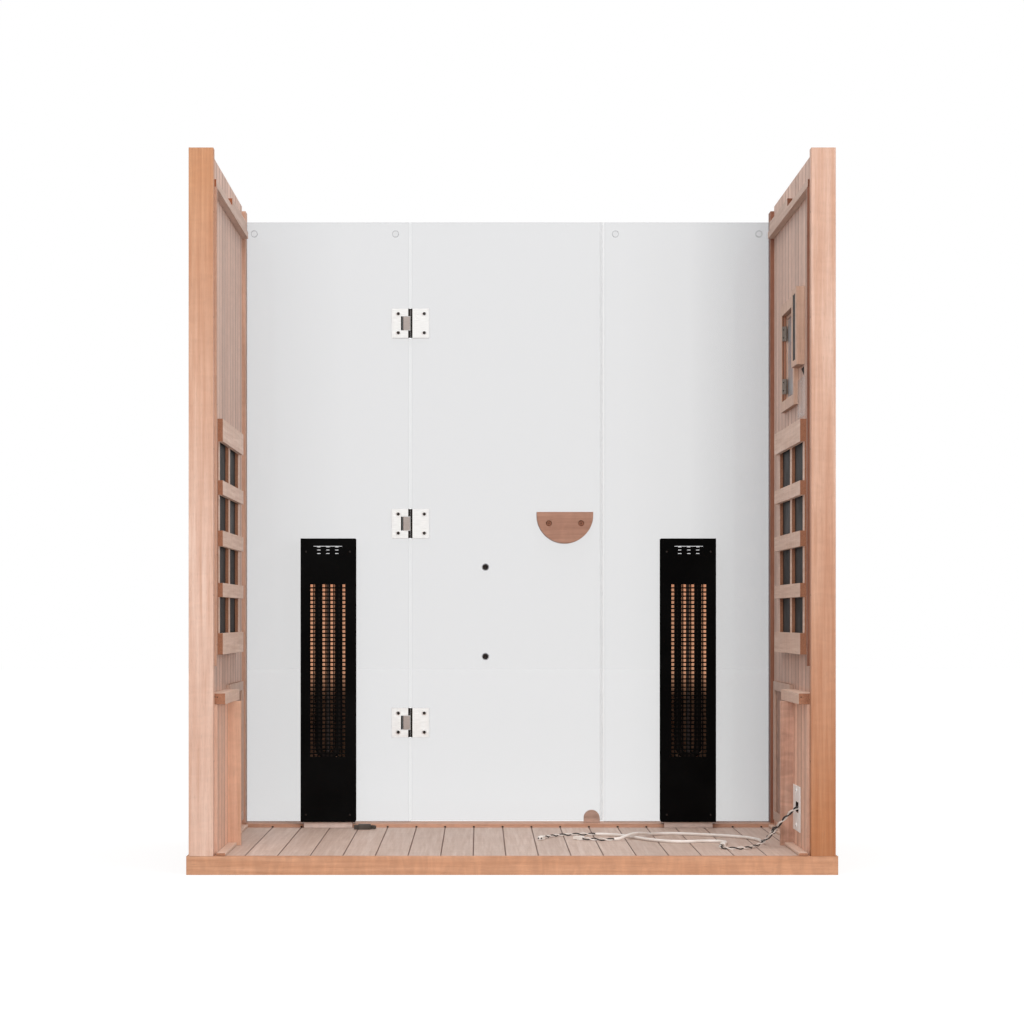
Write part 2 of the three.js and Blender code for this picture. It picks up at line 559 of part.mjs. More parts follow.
// A tower heater: housing open to the front, slotted front, double-trough reflector, hairpin element, foot
function makeTower(name, x) {
  const half = TOWER_WIDTH / 2;
  const [front, back] = TOWER_DEPTHS;
  const [bottom, top] = TOWER_HEIGHTS;
  const housingFront = front + TOWER_FRONT + GAP;
  const shell = block([x - half, x + half], [housingFront, back], [bottom, top]);
  const innerHalf = half - TOWER_WALL;
  const roomHeights = [bottom + TOWER_WALL, top - TOWER_WALL];
  const room = block([x - innerHalf, x + innerHalf], [front, back - TOWER_WALL], roomHeights);
  const windowReach = [x - VENT_HALF_WIDTH, x + VENT_HALF_WIDTH];
  const window = block(windowReach, [back - 2 * TOWER_WALL, back + 1], VENT_HEIGHTS);
  addPiece(`${name}_tower_housing`, cut(shell, room, window), 'black_metal');

  const slots = [];
  const opening = (cx, z0, z1, width) => {
    slots.push(block([cx - width / 2, cx + width / 2], [front - 1, front + TOWER_FRONT + 1], [z0, z1]));
  };
  const rowPitch = (GRILLE_HEIGHTS[1] - GRILLE_HEIGHTS[0] + GRILLE_BAR) / GRILLE_ROWS;
  for (let column = 0; column < GRILLE_COLUMNS; column += 1) {
    const cx = x + (column - (GRILLE_COLUMNS - 1) / 2) * GRILLE_PITCH;
    for (let row = 0; row < GRILLE_ROWS; row += 1) {
      const z0 = GRILLE_HEIGHTS[0] + row * rowPitch;
      opening(cx, z0, z0 + rowPitch - GRILLE_BAR, GRILLE_SLOT_WIDTH);
    }
  }
  const [slotWidth, slotHeight] = VENT_SLOT_SIZE;
  const ventMiddle = (VENT_HEIGHTS[0] + VENT_HEIGHTS[1]) / 2;
  for (const place of VENT_SLOTS) {
    opening(x + place, ventMiddle - slotHeight / 2, ventMiddle + slotHeight / 2, slotWidth);
  }
  const plate = block([x - half, x + half], [front, front + TOWER_FRONT], [bottom, top]);
  addPiece(`${name}_tower_grille`, cut(plate, ...slots), 'black_metal');

  const troughs = (grow) => TROUGH_PLACES.flatMap((place) => (
    Array.from({ length: TROUGH_STEPS + 1 }, (_, step) => {
      const turn = Math.PI * (1 - step / TROUGH_STEPS);
      const across = (TROUGH_RADII[0] + grow) * Math.cos(turn);
      return [x + place + across, REFLECTOR_FRONT + grow + TROUGH_RADII[1] * Math.sin(turn)];
    })
  ));
  const sheet = raise([...troughs(0), ...troughs(REFLECTOR_SHEET).reverse()], REFLECTOR_HEIGHTS);
  const bracketHalf = TROUGH_PLACES[1] + TROUGH_RADII[0];
  const [sheetBottom, sheetTop] = REFLECTOR_HEIGHTS;
  const bracketHeights = [
    [sheetBottom - REFLECTOR_BRACKET, sheetBottom + 1],
    [sheetTop - 1, sheetTop + REFLECTOR_BRACKET],
  ];
  const brackets = bracketHeights.map((heights) => {
    return block([x - bracketHalf, x + bracketHalf], [ELEMENT_DEPTH - 10, back - TOWER_WALL - GAP], heights);
  });
  addPiece(`${name}_tower_reflector`, join(sheet, ...brackets), 'copper');

  const elementY = depthToY(ELEMENT_DEPTH);
  const legTop = REFLECTOR_HEIGHTS[1] - 1 - GAP;
  const hairpin = [new THREE.Vector3(x + TROUGH_PLACES[0], elementY, legTop)];
  for (let step = 0; step <= ELEMENT_BEND_STEPS; step += 1) {
    const turn = Math.PI * (1 + step / ELEMENT_BEND_STEPS);
    const across = TROUGH_PLACES[1] * Math.cos(turn);
    const z = ELEMENT_BEND_HEIGHT + TROUGH_PLACES[1] * Math.sin(turn);
    hairpin.push(new THREE.Vector3(x + across, elementY, z));
  }
  hairpin.push(new THREE.Vector3(x + TROUGH_PLACES[1], elementY, legTop));
  const element = tube(new Route(hairpin), ELEMENT_RADIUS, 10, hairpin.length - 1);
  addPiece(`${name}_tower_element`, element, 'element_black');

  const footHeights = [DECK_TOP + GAP, bottom - GAP];
  const foot = block([x - FOOT_WIDTH / 2, x + FOOT_WIDTH / 2], FOOT_DEPTHS, footHeights);
  addPiece(`${name}_tower_foot`, foot, 'lining_wood');
}

// Right wall: frame round a niche with the media door set back in it, control box, cable cover
function makeRightFittings() {
  const onLining = LINING_FACE - GAP;
  const grow = ([low, high], by) => [low - by, high + by];
  const proud = [LINING_FACE - MEDIA_PROUD, onLining];
  const through = grow(proud, 1);
  const ring = cut(block(proud, MEDIA_DEPTHS, MEDIA_HEIGHTS), block(through, nicheDepths(), nicheHeights()));
  addPiece('media_frame', ring, 'lining_wood');

  const doorDepths = grow(nicheDepths(), -MEDIA_DOOR_GAP);
  const doorHeights = grow(nicheHeights(), -MEDIA_DOOR_GAP);
  const paneDepths = grow(doorDepths, -MEDIA_DOOR_RAIL);
  const paneHeights = grow(doorHeights, -MEDIA_DOOR_RAIL);
  const doorReach = [MEDIA_DOOR_FACE, MEDIA_DOOR_FACE + MEDIA_DOOR_THICKNESS];
  const doorOpening = block(grow(doorReach, 1), paneDepths, paneHeights);
  addPiece('media_door', cut(block(doorReach, doorDepths, doorHeights), doorOpening), 'lining_wood');
  const paneMiddle = MEDIA_DOOR_FACE + MEDIA_DOOR_THICKNESS / 2;
  const paneReach = [paneMiddle - MEDIA_GLASS / 2, paneMiddle + MEDIA_GLASS / 2];
  addPiece('media_glass', block(paneReach, grow(paneDepths, -GAP), grow(paneHeights, -GAP)), 'glass');

  const controlFace = LINING_FACE - CONTROL_PROUD;
  const recess = block(
    [controlFace - 1, controlFace + CONTROL_RECESS],
    grow(CONTROL_DEPTHS, -CONTROL_SIDE_BORDER),
    grow(CONTROL_HEIGHTS, -CONTROL_END_BORDER),
  );
  const control = cut(block([controlFace, onLining], CONTROL_DEPTHS, CONTROL_HEIGHTS), recess);
  addPiece('control_box', control, 'lining_wood');

  const coverBack = LOWER_LINING_FACE - GAP;
  const coverReach = [coverBack - CABLE_COVER_THICKNESS, coverBack];
  const cableSlot = block(grow(coverReach, 1), CABLE_SLOT_DEPTHS, CABLE_SLOT_HEIGHTS);
  const cableCover = cut(block(coverReach, CABLE_COVER_DEPTHS, CABLE_COVER_HEIGHTS), cableSlot);
  addPiece('cable_cover', cableCover, 'white_plastic');
}

// Two sheathed leads from the cable cover along the floor, each ending in its connector, and a loose plug
function makeHarness() {
  for (const [name, route] of Object.entries(LEAD_ROUTES)) {
    const points = route.map(([x, depth, z]) => new THREE.Vector3(x, depthToY(depth), z));
    const path = new THREE.CatmullRomCurve3(points, false, 'centripetal');
    addPiece(`lead_${name}`, tube(path, LEAD_RADIUS, LEAD_SIDES, LEAD_STEPS), 'white_plastic');

    const end = points.at(-1);
    const heading = path.getTangent(1).setZ(0).normalize();
    const [length, width, height] = CONNECTOR_SIZE;
    const holder = new THREE.Group();
    holder.position.copy(end).addScaledVector(heading, length / 2 + GAP);
    holder.position.z = DECK_TOP + GAP + height / 2;
    holder.rotation.z = Math.atan2(heading.y, heading.x);
    holder.add(addPiece(`connector_${name}`, new THREE.BoxGeometry(length, width, height), 'white_plastic'));
    cabin.add(holder);
  }

  const [x0, x1] = PLUG_X;
  const z0 = DECK_TOP + GAP;
  const z1 = z0 + PLUG_HEIGHT;
  const profile = [
    [x0, z0], [x1, z0], [x1, z1 - PLUG_CHAMFER],
    [x1 - PLUG_CHAMFER, z1], [x0 + PLUG_CHAMFER, z1], [x0, z1 - PLUG_CHAMFER],
  ];
  addPiece('tower_plug', carry(outline(profile), PLUG_DEPTHS), 'grey_plastic');
}

makeBase();
for (const [name, side] of Object.entries(SIDES)) {
  makeWall(name, side);
  makeTower(name, side * TOWER_X);
}
makeGlass();
for (const [name, height] of Object.entries(HINGE_HEIGHTS)) makeHinge(name, height);
makeDoorFittings();
makeRightFittings();
makeHarness();

export default cabin;
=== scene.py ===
import math

import bmesh
import bpy
from mathutils import Matrix, Vector


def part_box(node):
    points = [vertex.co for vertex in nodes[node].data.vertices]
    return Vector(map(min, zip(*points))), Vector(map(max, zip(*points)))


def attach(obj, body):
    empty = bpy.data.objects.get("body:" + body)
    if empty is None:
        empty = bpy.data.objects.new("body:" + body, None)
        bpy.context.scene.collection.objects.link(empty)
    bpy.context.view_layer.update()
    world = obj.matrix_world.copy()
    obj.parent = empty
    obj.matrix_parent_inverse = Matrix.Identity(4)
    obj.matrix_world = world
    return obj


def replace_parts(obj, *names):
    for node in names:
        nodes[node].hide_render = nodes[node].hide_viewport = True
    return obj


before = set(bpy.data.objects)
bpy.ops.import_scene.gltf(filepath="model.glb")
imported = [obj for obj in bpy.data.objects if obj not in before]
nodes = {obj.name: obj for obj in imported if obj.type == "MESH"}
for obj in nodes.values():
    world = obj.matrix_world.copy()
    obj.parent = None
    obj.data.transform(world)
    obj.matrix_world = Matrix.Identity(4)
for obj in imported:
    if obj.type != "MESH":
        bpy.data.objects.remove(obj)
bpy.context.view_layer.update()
scene = bpy.context.scene


# The photograph was taken square on from behind the cabin, from low down and slightly left of
# the middle, with a long lens. The view is level: the vertical lines stay vertical.
LENS_PIXELS = 2861.5
VANISHING_POINT = (479, 618)
PHOTO_SIZE = 1024
EYE = Vector((-0.088, -8.167, 0.681))

camera_data = bpy.data.cameras.new("photo_camera")
camera_data.sensor_width = 36
camera_data.lens = LENS_PIXELS / PHOTO_SIZE * camera_data.sensor_width
camera_data.shift_x = 0.5 - VANISHING_POINT[0] / PHOTO_SIZE
camera_data.shift_y = VANISHING_POINT[1] / PHOTO_SIZE - 0.5
camera = bpy.data.objects.new("photo_camera", camera_data)
camera.location = EYE
camera.rotation_euler = (math.pi / 2, 0, 0)
scene.collection.objects.link(camera)
scene.camera = camera


# Two leads feed the tower heaters. Each leaves the cable cover as a twisted black and white pair,
# runs along the floor in a white sheath, and ends as a short pair crimped in a nylon connector.
DECK_TOP = 49.5
HALF_DEPTH = 584
LEAD_RADIUS = 4.5
FLOOR_LEVEL = DECK_TOP + LEAD_RADIUS + 0.3
LANDING = FLOOR_LEVEL + 1.2
CROSSING = FLOOR_LEVEL + 2 * LEAD_RADIUS + 1
NEAR_ROUTE = [
    (800, 252, 163), (790, 253, 162.5), (776, 258, 156), (760, 268, 140), (742, 283, 118),
    (726, 297, 96), (713, 303, 79), (700, 302, 67), (685, 291, 58.5), (670, 270, LANDING),
    (657, 245, FLOOR_LEVEL), (641, 222, FLOOR_LEVEL), (620, 208, FLOOR_LEVEL), (597, 209, FLOOR_LEVEL),
    (580, 226, FLOOR_LEVEL), (574, 254, FLOOR_LEVEL), (578, 296, FLOOR_LEVEL), (588, 338, FLOOR_LEVEL),
    (598, 380, FLOOR_LEVEL), (600, 420, FLOOR_LEVEL), (582, 450, FLOOR_LEVEL), (548, 458, FLOOR_LEVEL),
    (513, 446, FLOOR_LEVEL), (480, 439, FLOOR_LEVEL), (449, 448, FLOOR_LEVEL), (417, 479, FLOOR_LEVEL),
    (389, 521, FLOOR_LEVEL), (365, 573, FLOOR_LEVEL), (337, 635, FLOOR_LEVEL), (298, 692, FLOOR_LEVEL),
    (250, 717, FLOOR_LEVEL), (197, 713, FLOOR_LEVEL), (146, 682, FLOOR_LEVEL), (113, 632, FLOOR_LEVEL),
    (94, 574, FLOOR_LEVEL),
]
FAR_ROUTE = [
    (800, 264, 163), (790, 265, 162.5), (776, 270, 156), (760, 280, 140), (742, 295, 118),
    (724, 315, 96), (714, 340, 79), (709, 378, 65), (708, 432, LANDING), (700, 512, FLOOR_LEVEL),
    (681, 577, FLOOR_LEVEL), (637, 639, FLOOR_LEVEL), (584, 682, FLOOR_LEVEL), (530, 717, FLOOR_LEVEL),
    (481, 739, FLOOR_LEVEL), (441, 733, FLOOR_LEVEL), (405, 687, FLOOR_LEVEL + 2),
    (377, 638, CROSSING - 2), (354, 594, CROSSING), (334, 555, CROSSING - 2),
    (308, 522, FLOOR_LEVEL + 2), (274, 514, FLOOR_LEVEL), (238, 530, FLOOR_LEVEL),
    (208, 551, FLOOR_LEVEL),
]
WIRE_RADIUS = 0.0017
WIRE_OFFSET = 0.0027
TWIST_PITCH = 0.048
LEAD_STEP = 0.004


def at(x, depth, z):
    """A point given in millimetres, with its depth counted from the cabin's rear plane."""
    return Vector((x, depth - HALF_DEPTH, z)) / 1000


def colour(red, green, blue):
    """A colour as a display shows it, 0 to 255, made linear for the shaders."""
    def linear(value):
        value /= 255
        return value / 12.92 if value <= 0.04045 else ((value + 0.055) / 1.055) ** 2.4

    return (linear(red), linear(green), linear(blue), 1)


def smooth_path(points, step):
    """A centripetal Catmull-Rom line through the points, as points one step apart."""
    ends = [2 * points[0] - points[1], *points, 2 * points[-1] - points[-2]]
    dense = []
    for before, start, end, after in zip(ends, ends[1:], ends[2:], ends[3:]):
        knots = [0.0]
        for a, b in ((before, start), (start, end), (end, after)):
            knots.append(knots[-1] + math.sqrt((b - a).length))
        count = max(2, round((end - start).length / step))
        for index in range(count):
            t = knots[1] + (knots[2] - knots[1]) * index / count

            def between(a, b, i, j):
                return a.lerp(b, (t - knots[i]) / (knots[j] - knots[i]))

            first = between(before, start, 0, 1)
            second = between(start, end, 1, 2)
            third = between(end, after, 2, 3)
            dense.append(between(between(first, second, 0, 2), between(second, third, 1, 3), 1, 2))
    return [*dense, points[-1]]


def side_frames(points):
    """Two directions square to the line at each point, carried along without spinning."""
    frames = []
    side = None
    for index in range(len(points)):
        ahead = (points[min(index + 1, len(points) - 1)] - points[max(index - 1, 0)]).normalized()
        if side is None:
            side = ahead.orthogonal().normalized()
        side = (side - ahead * side.dot(ahead)).normalized()
        frames.append((side, ahead.cross(side)))
    return frames


def add_tube(mesh, points, radius, sides=10, material=0):
    rings = []
    for point, (side, up) in zip(points, side_frames(points)):
        ring = []
        for index in range(sides):
            angle = 2 * math.pi * index / sides
            ring.append(mesh.verts.new(point + radius * (math.cos(angle) * side + math.sin(angle) * up)))
        rings.append(ring)
    faces = [mesh.faces.new(list(reversed(rings[0]))), mesh.faces.new(rings[-1])]
    for first, second in zip(rings, rings[1:]):
        for index in range(sides):
            after = (index + 1) % sides
            faces.append(mesh.faces.new((first[index], first[after], second[after], second[index])))
    for face in faces:
        face.material_index = material
        face.smooth = len(face.verts) == 4


def add_twisted_pair(mesh, points, materials):
    frames = side_frames(points)
    for start, material in zip((0, math.pi), materials):
        travelled = 0.0
        strand = []
        for index, (point, (side, up)) in enumerate(zip(points, frames)):
            if index:
                travelled += (point - points[index - 1]).length
            turn = start + 2 * math.pi * travelled / TWIST_PITCH
            strand.append(point + WIRE_OFFSET * (math.cos(turn) * side + math.sin(turn) * up))
        add_tube(mesh, strand, WIRE_RADIUS, 8, material)


def make_piece(name, mesh, materials, body):
    """Turns a bmesh into an object that rides on a body and takes a slot's finish."""
    bmesh.ops.recalc_face_normals(mesh, faces=mesh.faces)
    data = bpy.data.meshes.new(name)
    mesh.to_mesh(data)
    mesh.free()
    for material in materials:
        data.materials.append(material)
    piece = bpy.data.objects.new(name, data)
    scene.collection.objects.link(piece)
    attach(piece, body)
    return piece


def add_bar(mesh, low, high, bevel=0.0015, material=0, turn=None):
    """A bar between two corners, its edges eased, turned about a point if turn is a matrix."""
    low = Vector(low)
    high = Vector(high)
    part = bmesh.new()
    bmesh.ops.create_cube(part, size=1)
    for vertex in part.verts:
        for axis in range(3):
            middle = (low[axis] + high[axis]) / 2
            vertex.co[axis] = middle + vertex.co[axis] * abs(high[axis] - low[axis])
    edges = list(part.edges)
    bmesh.ops.bevel(part, geom=edges, offset=bevel, segments=2, profile=0.6, affect="EDGES")
    for face in part.faces:
        face.material_index = material
    if turn is not None:
        bmesh.ops.transform(part, matrix=turn, verts=part.verts)
    data = bpy.data.meshes.new("bar")
    part.to_mesh(data)
    part.free()
    mesh.from_mesh(data)
    bpy.data.meshes.remove(data)


def new_material(name):
    material = bpy.data.materials.new(name)
    material.use_nodes = True
    tree = material.node_tree
    return material, tree, tree.nodes["Principled BSDF"]


def add_node(tree, kind, settings=(), inputs=(), **named_inputs):
    """A shader node with its settings and inputs, each input a fixed value or another node's output."""
    node = tree.nodes.new(kind)
    for key, value in dict(settings).items():
        setattr(node, key, value)
    for key, value in (*dict(inputs).items(), *named_inputs.items()):
        if isinstance(value, bpy.types.NodeSocket):
            tree.links.new(value, node.inputs[key])
        else:
            node.inputs[key].default_value = value
    return node


def object_coordinates(tree):
    return tree.nodes.new("ShaderNodeTexCoord").outputs["Object"]


def noise(tree, place, **inputs):
    return add_node(tree, "ShaderNodeTexNoise", Vector=place, **inputs).outputs["Fac"]


def blend_colours(tree, factor, first, second, mode="MIX"):
    settings = {"data_type": "RGBA", "blend_type": mode}
    return add_node(tree, "ShaderNodeMix", settings, {0: factor, 6: first, 7: second}).outputs[2]


def mapped(tree, source, low, high, new_low, new_high):
    """A value carried over from one range to another and held at its ends."""
    ranges = dict(enumerate((source, low, high, new_low, new_high)))
    return add_node(tree, "ShaderNodeMapRange", inputs=ranges).outputs[0]


def press_relief(tree, principled, height, strength, depth, eased_radius=0):
    """Gives the surface a fine relief and, where a radius is given, eased edges."""
    bump = add_node(tree, "ShaderNodeBump", Height=height, Strength=strength, Distance=depth)
    if eased_radius:
        eased = add_node(tree, "ShaderNodeBevel", {"samples": 4}, {"Radius": eased_radius})
        tree.links.new(eased.outputs[0], bump.inputs["Normal"])
    tree.links.new(bump.outputs["Normal"], principled.inputs["Normal"])


def moulded(name, base, shade, roughness):
    """Moulded plastic: a fine matt grain, a faint cloudiness and a little dirt."""
    material, tree, principled = new_material(name)
    place = object_coordinates(tree)
    cloud = noise(tree, place, Scale=35, Detail=4)
    blotch = mapped(tree, cloud, 0.35, 0.7, 0, 1)
    tree.links.new(blend_colours(tree, blotch, base, shade), principled.inputs["Base Color"])
    dullness = mapped(tree, cloud, 0.3, 0.7, roughness - 0.06, roughness + 0.08)
    tree.links.new(dullness, principled.inputs["Roughness"])
    press_relief(tree, principled, noise(tree, place, Scale=900, Detail=2), 0.4, 0.00008)
    return material


sheath_white = moulded("sheath_white", colour(243, 238, 233), colour(229, 222, 215), 0.42)
wire_black = moulded("wire_black", colour(30, 28, 28), colour(48, 45, 43), 0.4)
wire_white = moulded("wire_white", colour(238, 232, 226), colour(220, 212, 205), 0.4)
nylon_white = moulded("nylon_white", colour(246, 243, 239), colour(232, 226, 219), 0.35)
socket_dark = moulded("socket_dark", colour(38, 30, 27), colour(26, 20, 18), 0.7)
LEADS = {
    "near": (NEAR_ROUTE, (590, 346, FLOOR_LEVEL), (250, 717, FLOOR_LEVEL)),
    "far": (FAR_ROUTE, (706, 470, FLOOR_LEVEL), (292, 517, FLOOR_LEVEL)),
}
CONNECTOR = Vector((0.030, 0.016, 0.011))
CONNECTOR_STEP = 0.55 * CONNECTOR.x
LATCH_HALF = 0.0028
JOINT_BLOCK = Vector((0.028, 0.014, 0.0095))


def lying_at(path, index):
    """The frame of a piece lying at a point of a lead, its X along the lead."""
    heading = (path[min(index + 1, len(path) - 1)] - path[max(index - 1, 0)]).normalized()
    return Matrix.Translation(path[index]) @ Matrix.Rotation(math.atan2(heading.y, heading.x), 4, "Z")


cords = []
for lead_name, (route, sheath_start, sheath_end) in LEADS.items():
    path = smooth_path([at(*point) for point in route], LEAD_STEP)
    first = min(range(len(path)), key=lambda index: (path[index] - at(*sheath_start)).length)
    last = min(range(len(path)), key=lambda index: (path[index] - at(*sheath_end)).length)
    lead_mesh = bmesh.new()
    add_twisted_pair(lead_mesh, path[:first + 3], (1, 2))
    add_tube(lead_mesh, path[first:last + 1], LEAD_RADIUS / 1000, 14, 0)
    add_twisted_pair(lead_mesh, path[last - 2:], (1, 2))
    lead_finishes = [sheath_white, wire_black, wire_white]
    lead = make_piece(f"lead_{lead_name}_wires", lead_mesh, lead_finishes, "cabin")
    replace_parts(lead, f"lead_{lead_name}")

    turn = lying_at(path, len(path) - 1)
    long, half_wide, tall = CONNECTOR.x, CONNECTOR.y / 2, CONNECTOR.z
    foot = (DECK_TOP + 0.3) / 1000 - path[-1].z
    step_in = half_wide * 0.86
    latch_top = foot + tall - 0.0002
    shell = bmesh.new()
    for low, high, bevel in (
        ((0.0003, -half_wide, foot), (CONNECTOR_STEP, half_wide, foot + tall), 0.0012),
        ((CONNECTOR_STEP, -step_in, foot + 0.001), (long, step_in, foot + tall * 0.9), 0.001),
        ((0.004, -LATCH_HALF, latch_top - 0.002), (long * 0.8, LATCH_HALF, latch_top), 0.0005),
    ):
        add_bar(shell, low, high, bevel, 0, turn)
    for rib in (-1, 1):
        edge = rib * half_wide * 0.52
        low = (long - 0.0015, edge - 0.0022, foot + 0.003)
        high = (long + 0.0001, edge + 0.0022, foot + 0.0075)
        add_bar(shell, low, high, 0.0004, 1, turn)
    connector = make_piece(
        f"connector_{lead_name}_shell", shell, [nylon_white, socket_dark], "cabin",
    )
    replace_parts(connector, f"connector_{lead_name}")
    cords.append((lead, path, [connector], first))

_, near_path, near_pieces, joint = cords[0]
turn = lying_at(near_path, joint)
half_wide = JOINT_BLOCK.y / 2
block_mesh = bmesh.new()
for start, end, inset in ((-0.58, 0.1, 0), (0.1, 0.5, 0.0012)):
    low = (start * JOINT_BLOCK.x, -half_wide + inset, -0.0045)
    high = (end * JOINT_BLOCK.x, half_wide - inset, JOINT_BLOCK.z - 0.0045 - inset)
    add_bar(block_mesh, low, high, 0.001, 0, turn)
add_bar(block_mesh, (-0.012, -0.0024, 0.0046), (0.006, 0.0024, 0.0062), 0.0005, 0, turn)
near_pieces.append(make_piece("lead_near_joint", block_mesh, [nylon_white], "cabin"))

TIE_AT = (at(726, 297, 96), at(724, 315, 96))
TIE_RADIUS = 0.0058
TIE_SIDES = 32
TIE_HEAD = Vector((0.0024, 0.0024, 0.0024))
along = Vector((-0.46, 0.62, -0.63)).normalized()
apart = TIE_AT[1] - TIE_AT[0]
across = apart - along * apart.dot(along)
outward = across.normalized()
square = along.cross(outward)
loop = []
for index in range(TIE_SIDES + 1):
    angle = 2 * math.pi * index / TIE_SIDES
    reach = math.copysign(across.length / 2, math.cos(angle)) + TIE_RADIUS * math.cos(angle)
    loop.append(TIE_AT[0] + apart / 2 + outward * reach + square * TIE_RADIUS * math.sin(angle))
tie_mesh = bmesh.new()
add_tube(tie_mesh, loop, 0.0009, 8)
head = loop[TIE_SIDES // 4] + square * 0.001
add_bar(tie_mesh, head - TIE_HEAD, head + TIE_HEAD, 0.0006)
near_pieces.append(make_piece("cable_tie", tie_mesh, [wire_black], "cabin"))

for lead, path, pieces, _ in cords:
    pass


# The base is a frame of solid planed rails, screwed at the corners, round a deck of narrow
# tongue-and-groove boards. The wood is a warm, even-grained hardwood with fine dark pores.
BOARD_PITCH = 0.08665
FLOOR_SEAM = -0.0167
X_AXIS, Y_AXIS, Z_AXIS = 0, 1, 2


def math_node(tree, operation, first, second=0.0):
    """A sum on a value that varies over the surface."""
    return add_node(tree, "ShaderNodeMath", {"operation": operation}, {0: first, 1: second}).outputs[0]


def part_along(tree, vector, axis):
    return add_node(tree, "ShaderNodeSeparateXYZ", Vector=vector).outputs[axis]


def facing(tree, axis):
    """How squarely the surface faces along an axis, from 0 to 1."""
    normal = tree.nodes.new("ShaderNodeNewGeometry").outputs["Normal"]
    return math_node(tree, "ABSOLUTE", part_along(tree, normal, axis))


def shaded(tone, share):
    """A colour with its light cut down to a share."""
    return (*(share * channel for channel in tone[:3]), 1)


def stretched_noise(tree, place, grain, shrink, **inputs):
    """Noise drawn out along the grain."""
    stretch = [1.0, 1.0, 1.0]
    stretch[grain] = shrink
    along = add_node(tree, "ShaderNodeMapping", Vector=place, Scale=stretch)
    return noise(tree, along.outputs[0], **inputs)


def wood(name, pale, dark, end, grain, boards=None, figure=0.06, variation=0.06, gloss=0.52, painted_light_fade=None):
    """Planed wood. grain is the axis the fibres run along; boards is (axis, seam, pitch, seam width).

    figure is the strength of the ripple across the grain. painted_light_fade is (height, height, tint):
    between the two heights the colour drifts to its own product with the tint, painting light where the
    tint is above one and shade where it is below one.
    """
    material, tree, principled = new_material(name)
    uncut = place = object_coordinates(tree)
    tone = None
    if boards:
        axis, seam, pitch, seam_width = boards
        from_seam = math_node(tree, "SUBTRACT", part_along(tree, place, axis), seam)
        counted = math_node(tree, "DIVIDE", from_seam, pitch)
        board = math_node(tree, "FLOOR", counted)
        chance = add_node(tree, "ShaderNodeTexWhiteNoise", {"noise_dimensions": "1D"}, W=board)
        tone = chance.outputs["Value"]
        scale = {0: chance.outputs["Color"], "Scale": 7.0}
        apart = add_node(tree, "ShaderNodeVectorMath", {"operation": "SCALE"}, scale).outputs[0]
        moved = add_node(tree, "ShaderNodeVectorMath", {"operation": "ADD"}, {0: place, 1: apart})
        place = moved.outputs[0]
        seam_share = seam_width / pitch / 2
        gap = mapped(tree, math_node(tree, "PINGPONG", counted, 0.5), seam_share * 0.6, seam_share, 0.8, 0)

    fibres = stretched_noise(tree, place, grain, 0.03, Scale=110, Detail=6, Roughness=0.6, Distortion=0.25)
    bands = stretched_noise(tree, place, grain, 0.035, Scale=22, Detail=3, Distortion=0.7)
    flames = stretched_noise(tree, place, grain, 0.07, Scale=9, Detail=4, Distortion=2.2)
    pores = stretched_noise(tree, place, grain, 0.06, Scale=700, Detail=2)
    ripple = stretched_noise(tree, place, grain, 3.0, Scale=13, Detail=3, Distortion=0.9)

    base = blend_colours(tree, mapped(tree, fibres, 0.32, 0.68, 0, 1), dark, pale)
    base = blend_colours(tree, mapped(tree, bands, 0.38, 0.66, 0, 0.5), base, dark)
    base = blend_colours(tree, mapped(tree, flames, 0.5, 0.68, 0, 0.45), base, dark)
    shimmer = mapped(tree, ripple, 0.36, 0.66, 1 - figure, 1 + figure * 0.5)
    base = add_node(tree, "ShaderNodeHueSaturation", Color=base, Value=shimmer).outputs[0]
    if tone:
        change = mapped(tree, tone, 0, 1, 1 - variation, 1 + variation)
        base = add_node(tree, "ShaderNodeHueSaturation", Color=base, Value=change).outputs[0]
        seam_colour = (0.3 * dark[0], 0.2 * dark[1], 0.17 * dark[2], 1)
        base = blend_colours(tree, gap, base, seam_colour)
    # Painted light and shade: between two heights the colour is multiplied by a tint.
    if painted_light_fade:
        start, stop, tint = painted_light_fade
        drift = mapped(tree, part_along(tree, uncut, Z_AXIS), start, stop, 0, 1)
        base = blend_colours(tree, drift, base, tint, "MULTIPLY")
    pore = mapped(tree, pores, 0.57, 0.74, 0, 0.28)
    base = blend_colours(tree, pore, base, shaded(dark, 0.45))

    rings = noise(tree, uncut, Scale=260, Detail=4, Distortion=1.5)
    end_grain = blend_colours(tree, mapped(tree, rings, 0.35, 0.65, 0, 1), shaded(end, 0.7), end)
    base = blend_colours(tree, mapped(tree, facing(tree, grain), 0.75, 0.9, 0, 1), base, end_grain)
    tree.links.new(base, principled.inputs["Base Color"])

    dullness = mapped(tree, fibres, 0.3, 0.7, gloss + 0.1, gloss - 0.06)
    tree.links.new(dullness, principled.inputs["Roughness"])
    principled.inputs["Specular IOR Level"].default_value = 0.3
    press_relief(tree, principled, math_node(tree, "SUBTRACT", fibres, pore), 0.25, 0.0004, 0.0016)
    return material


def clothe(material, *names):
    """Gives CAD nodes their material."""
    for name in names:
        slots = nodes[name].data.materials
        slots.clear()
        slots.append(material)


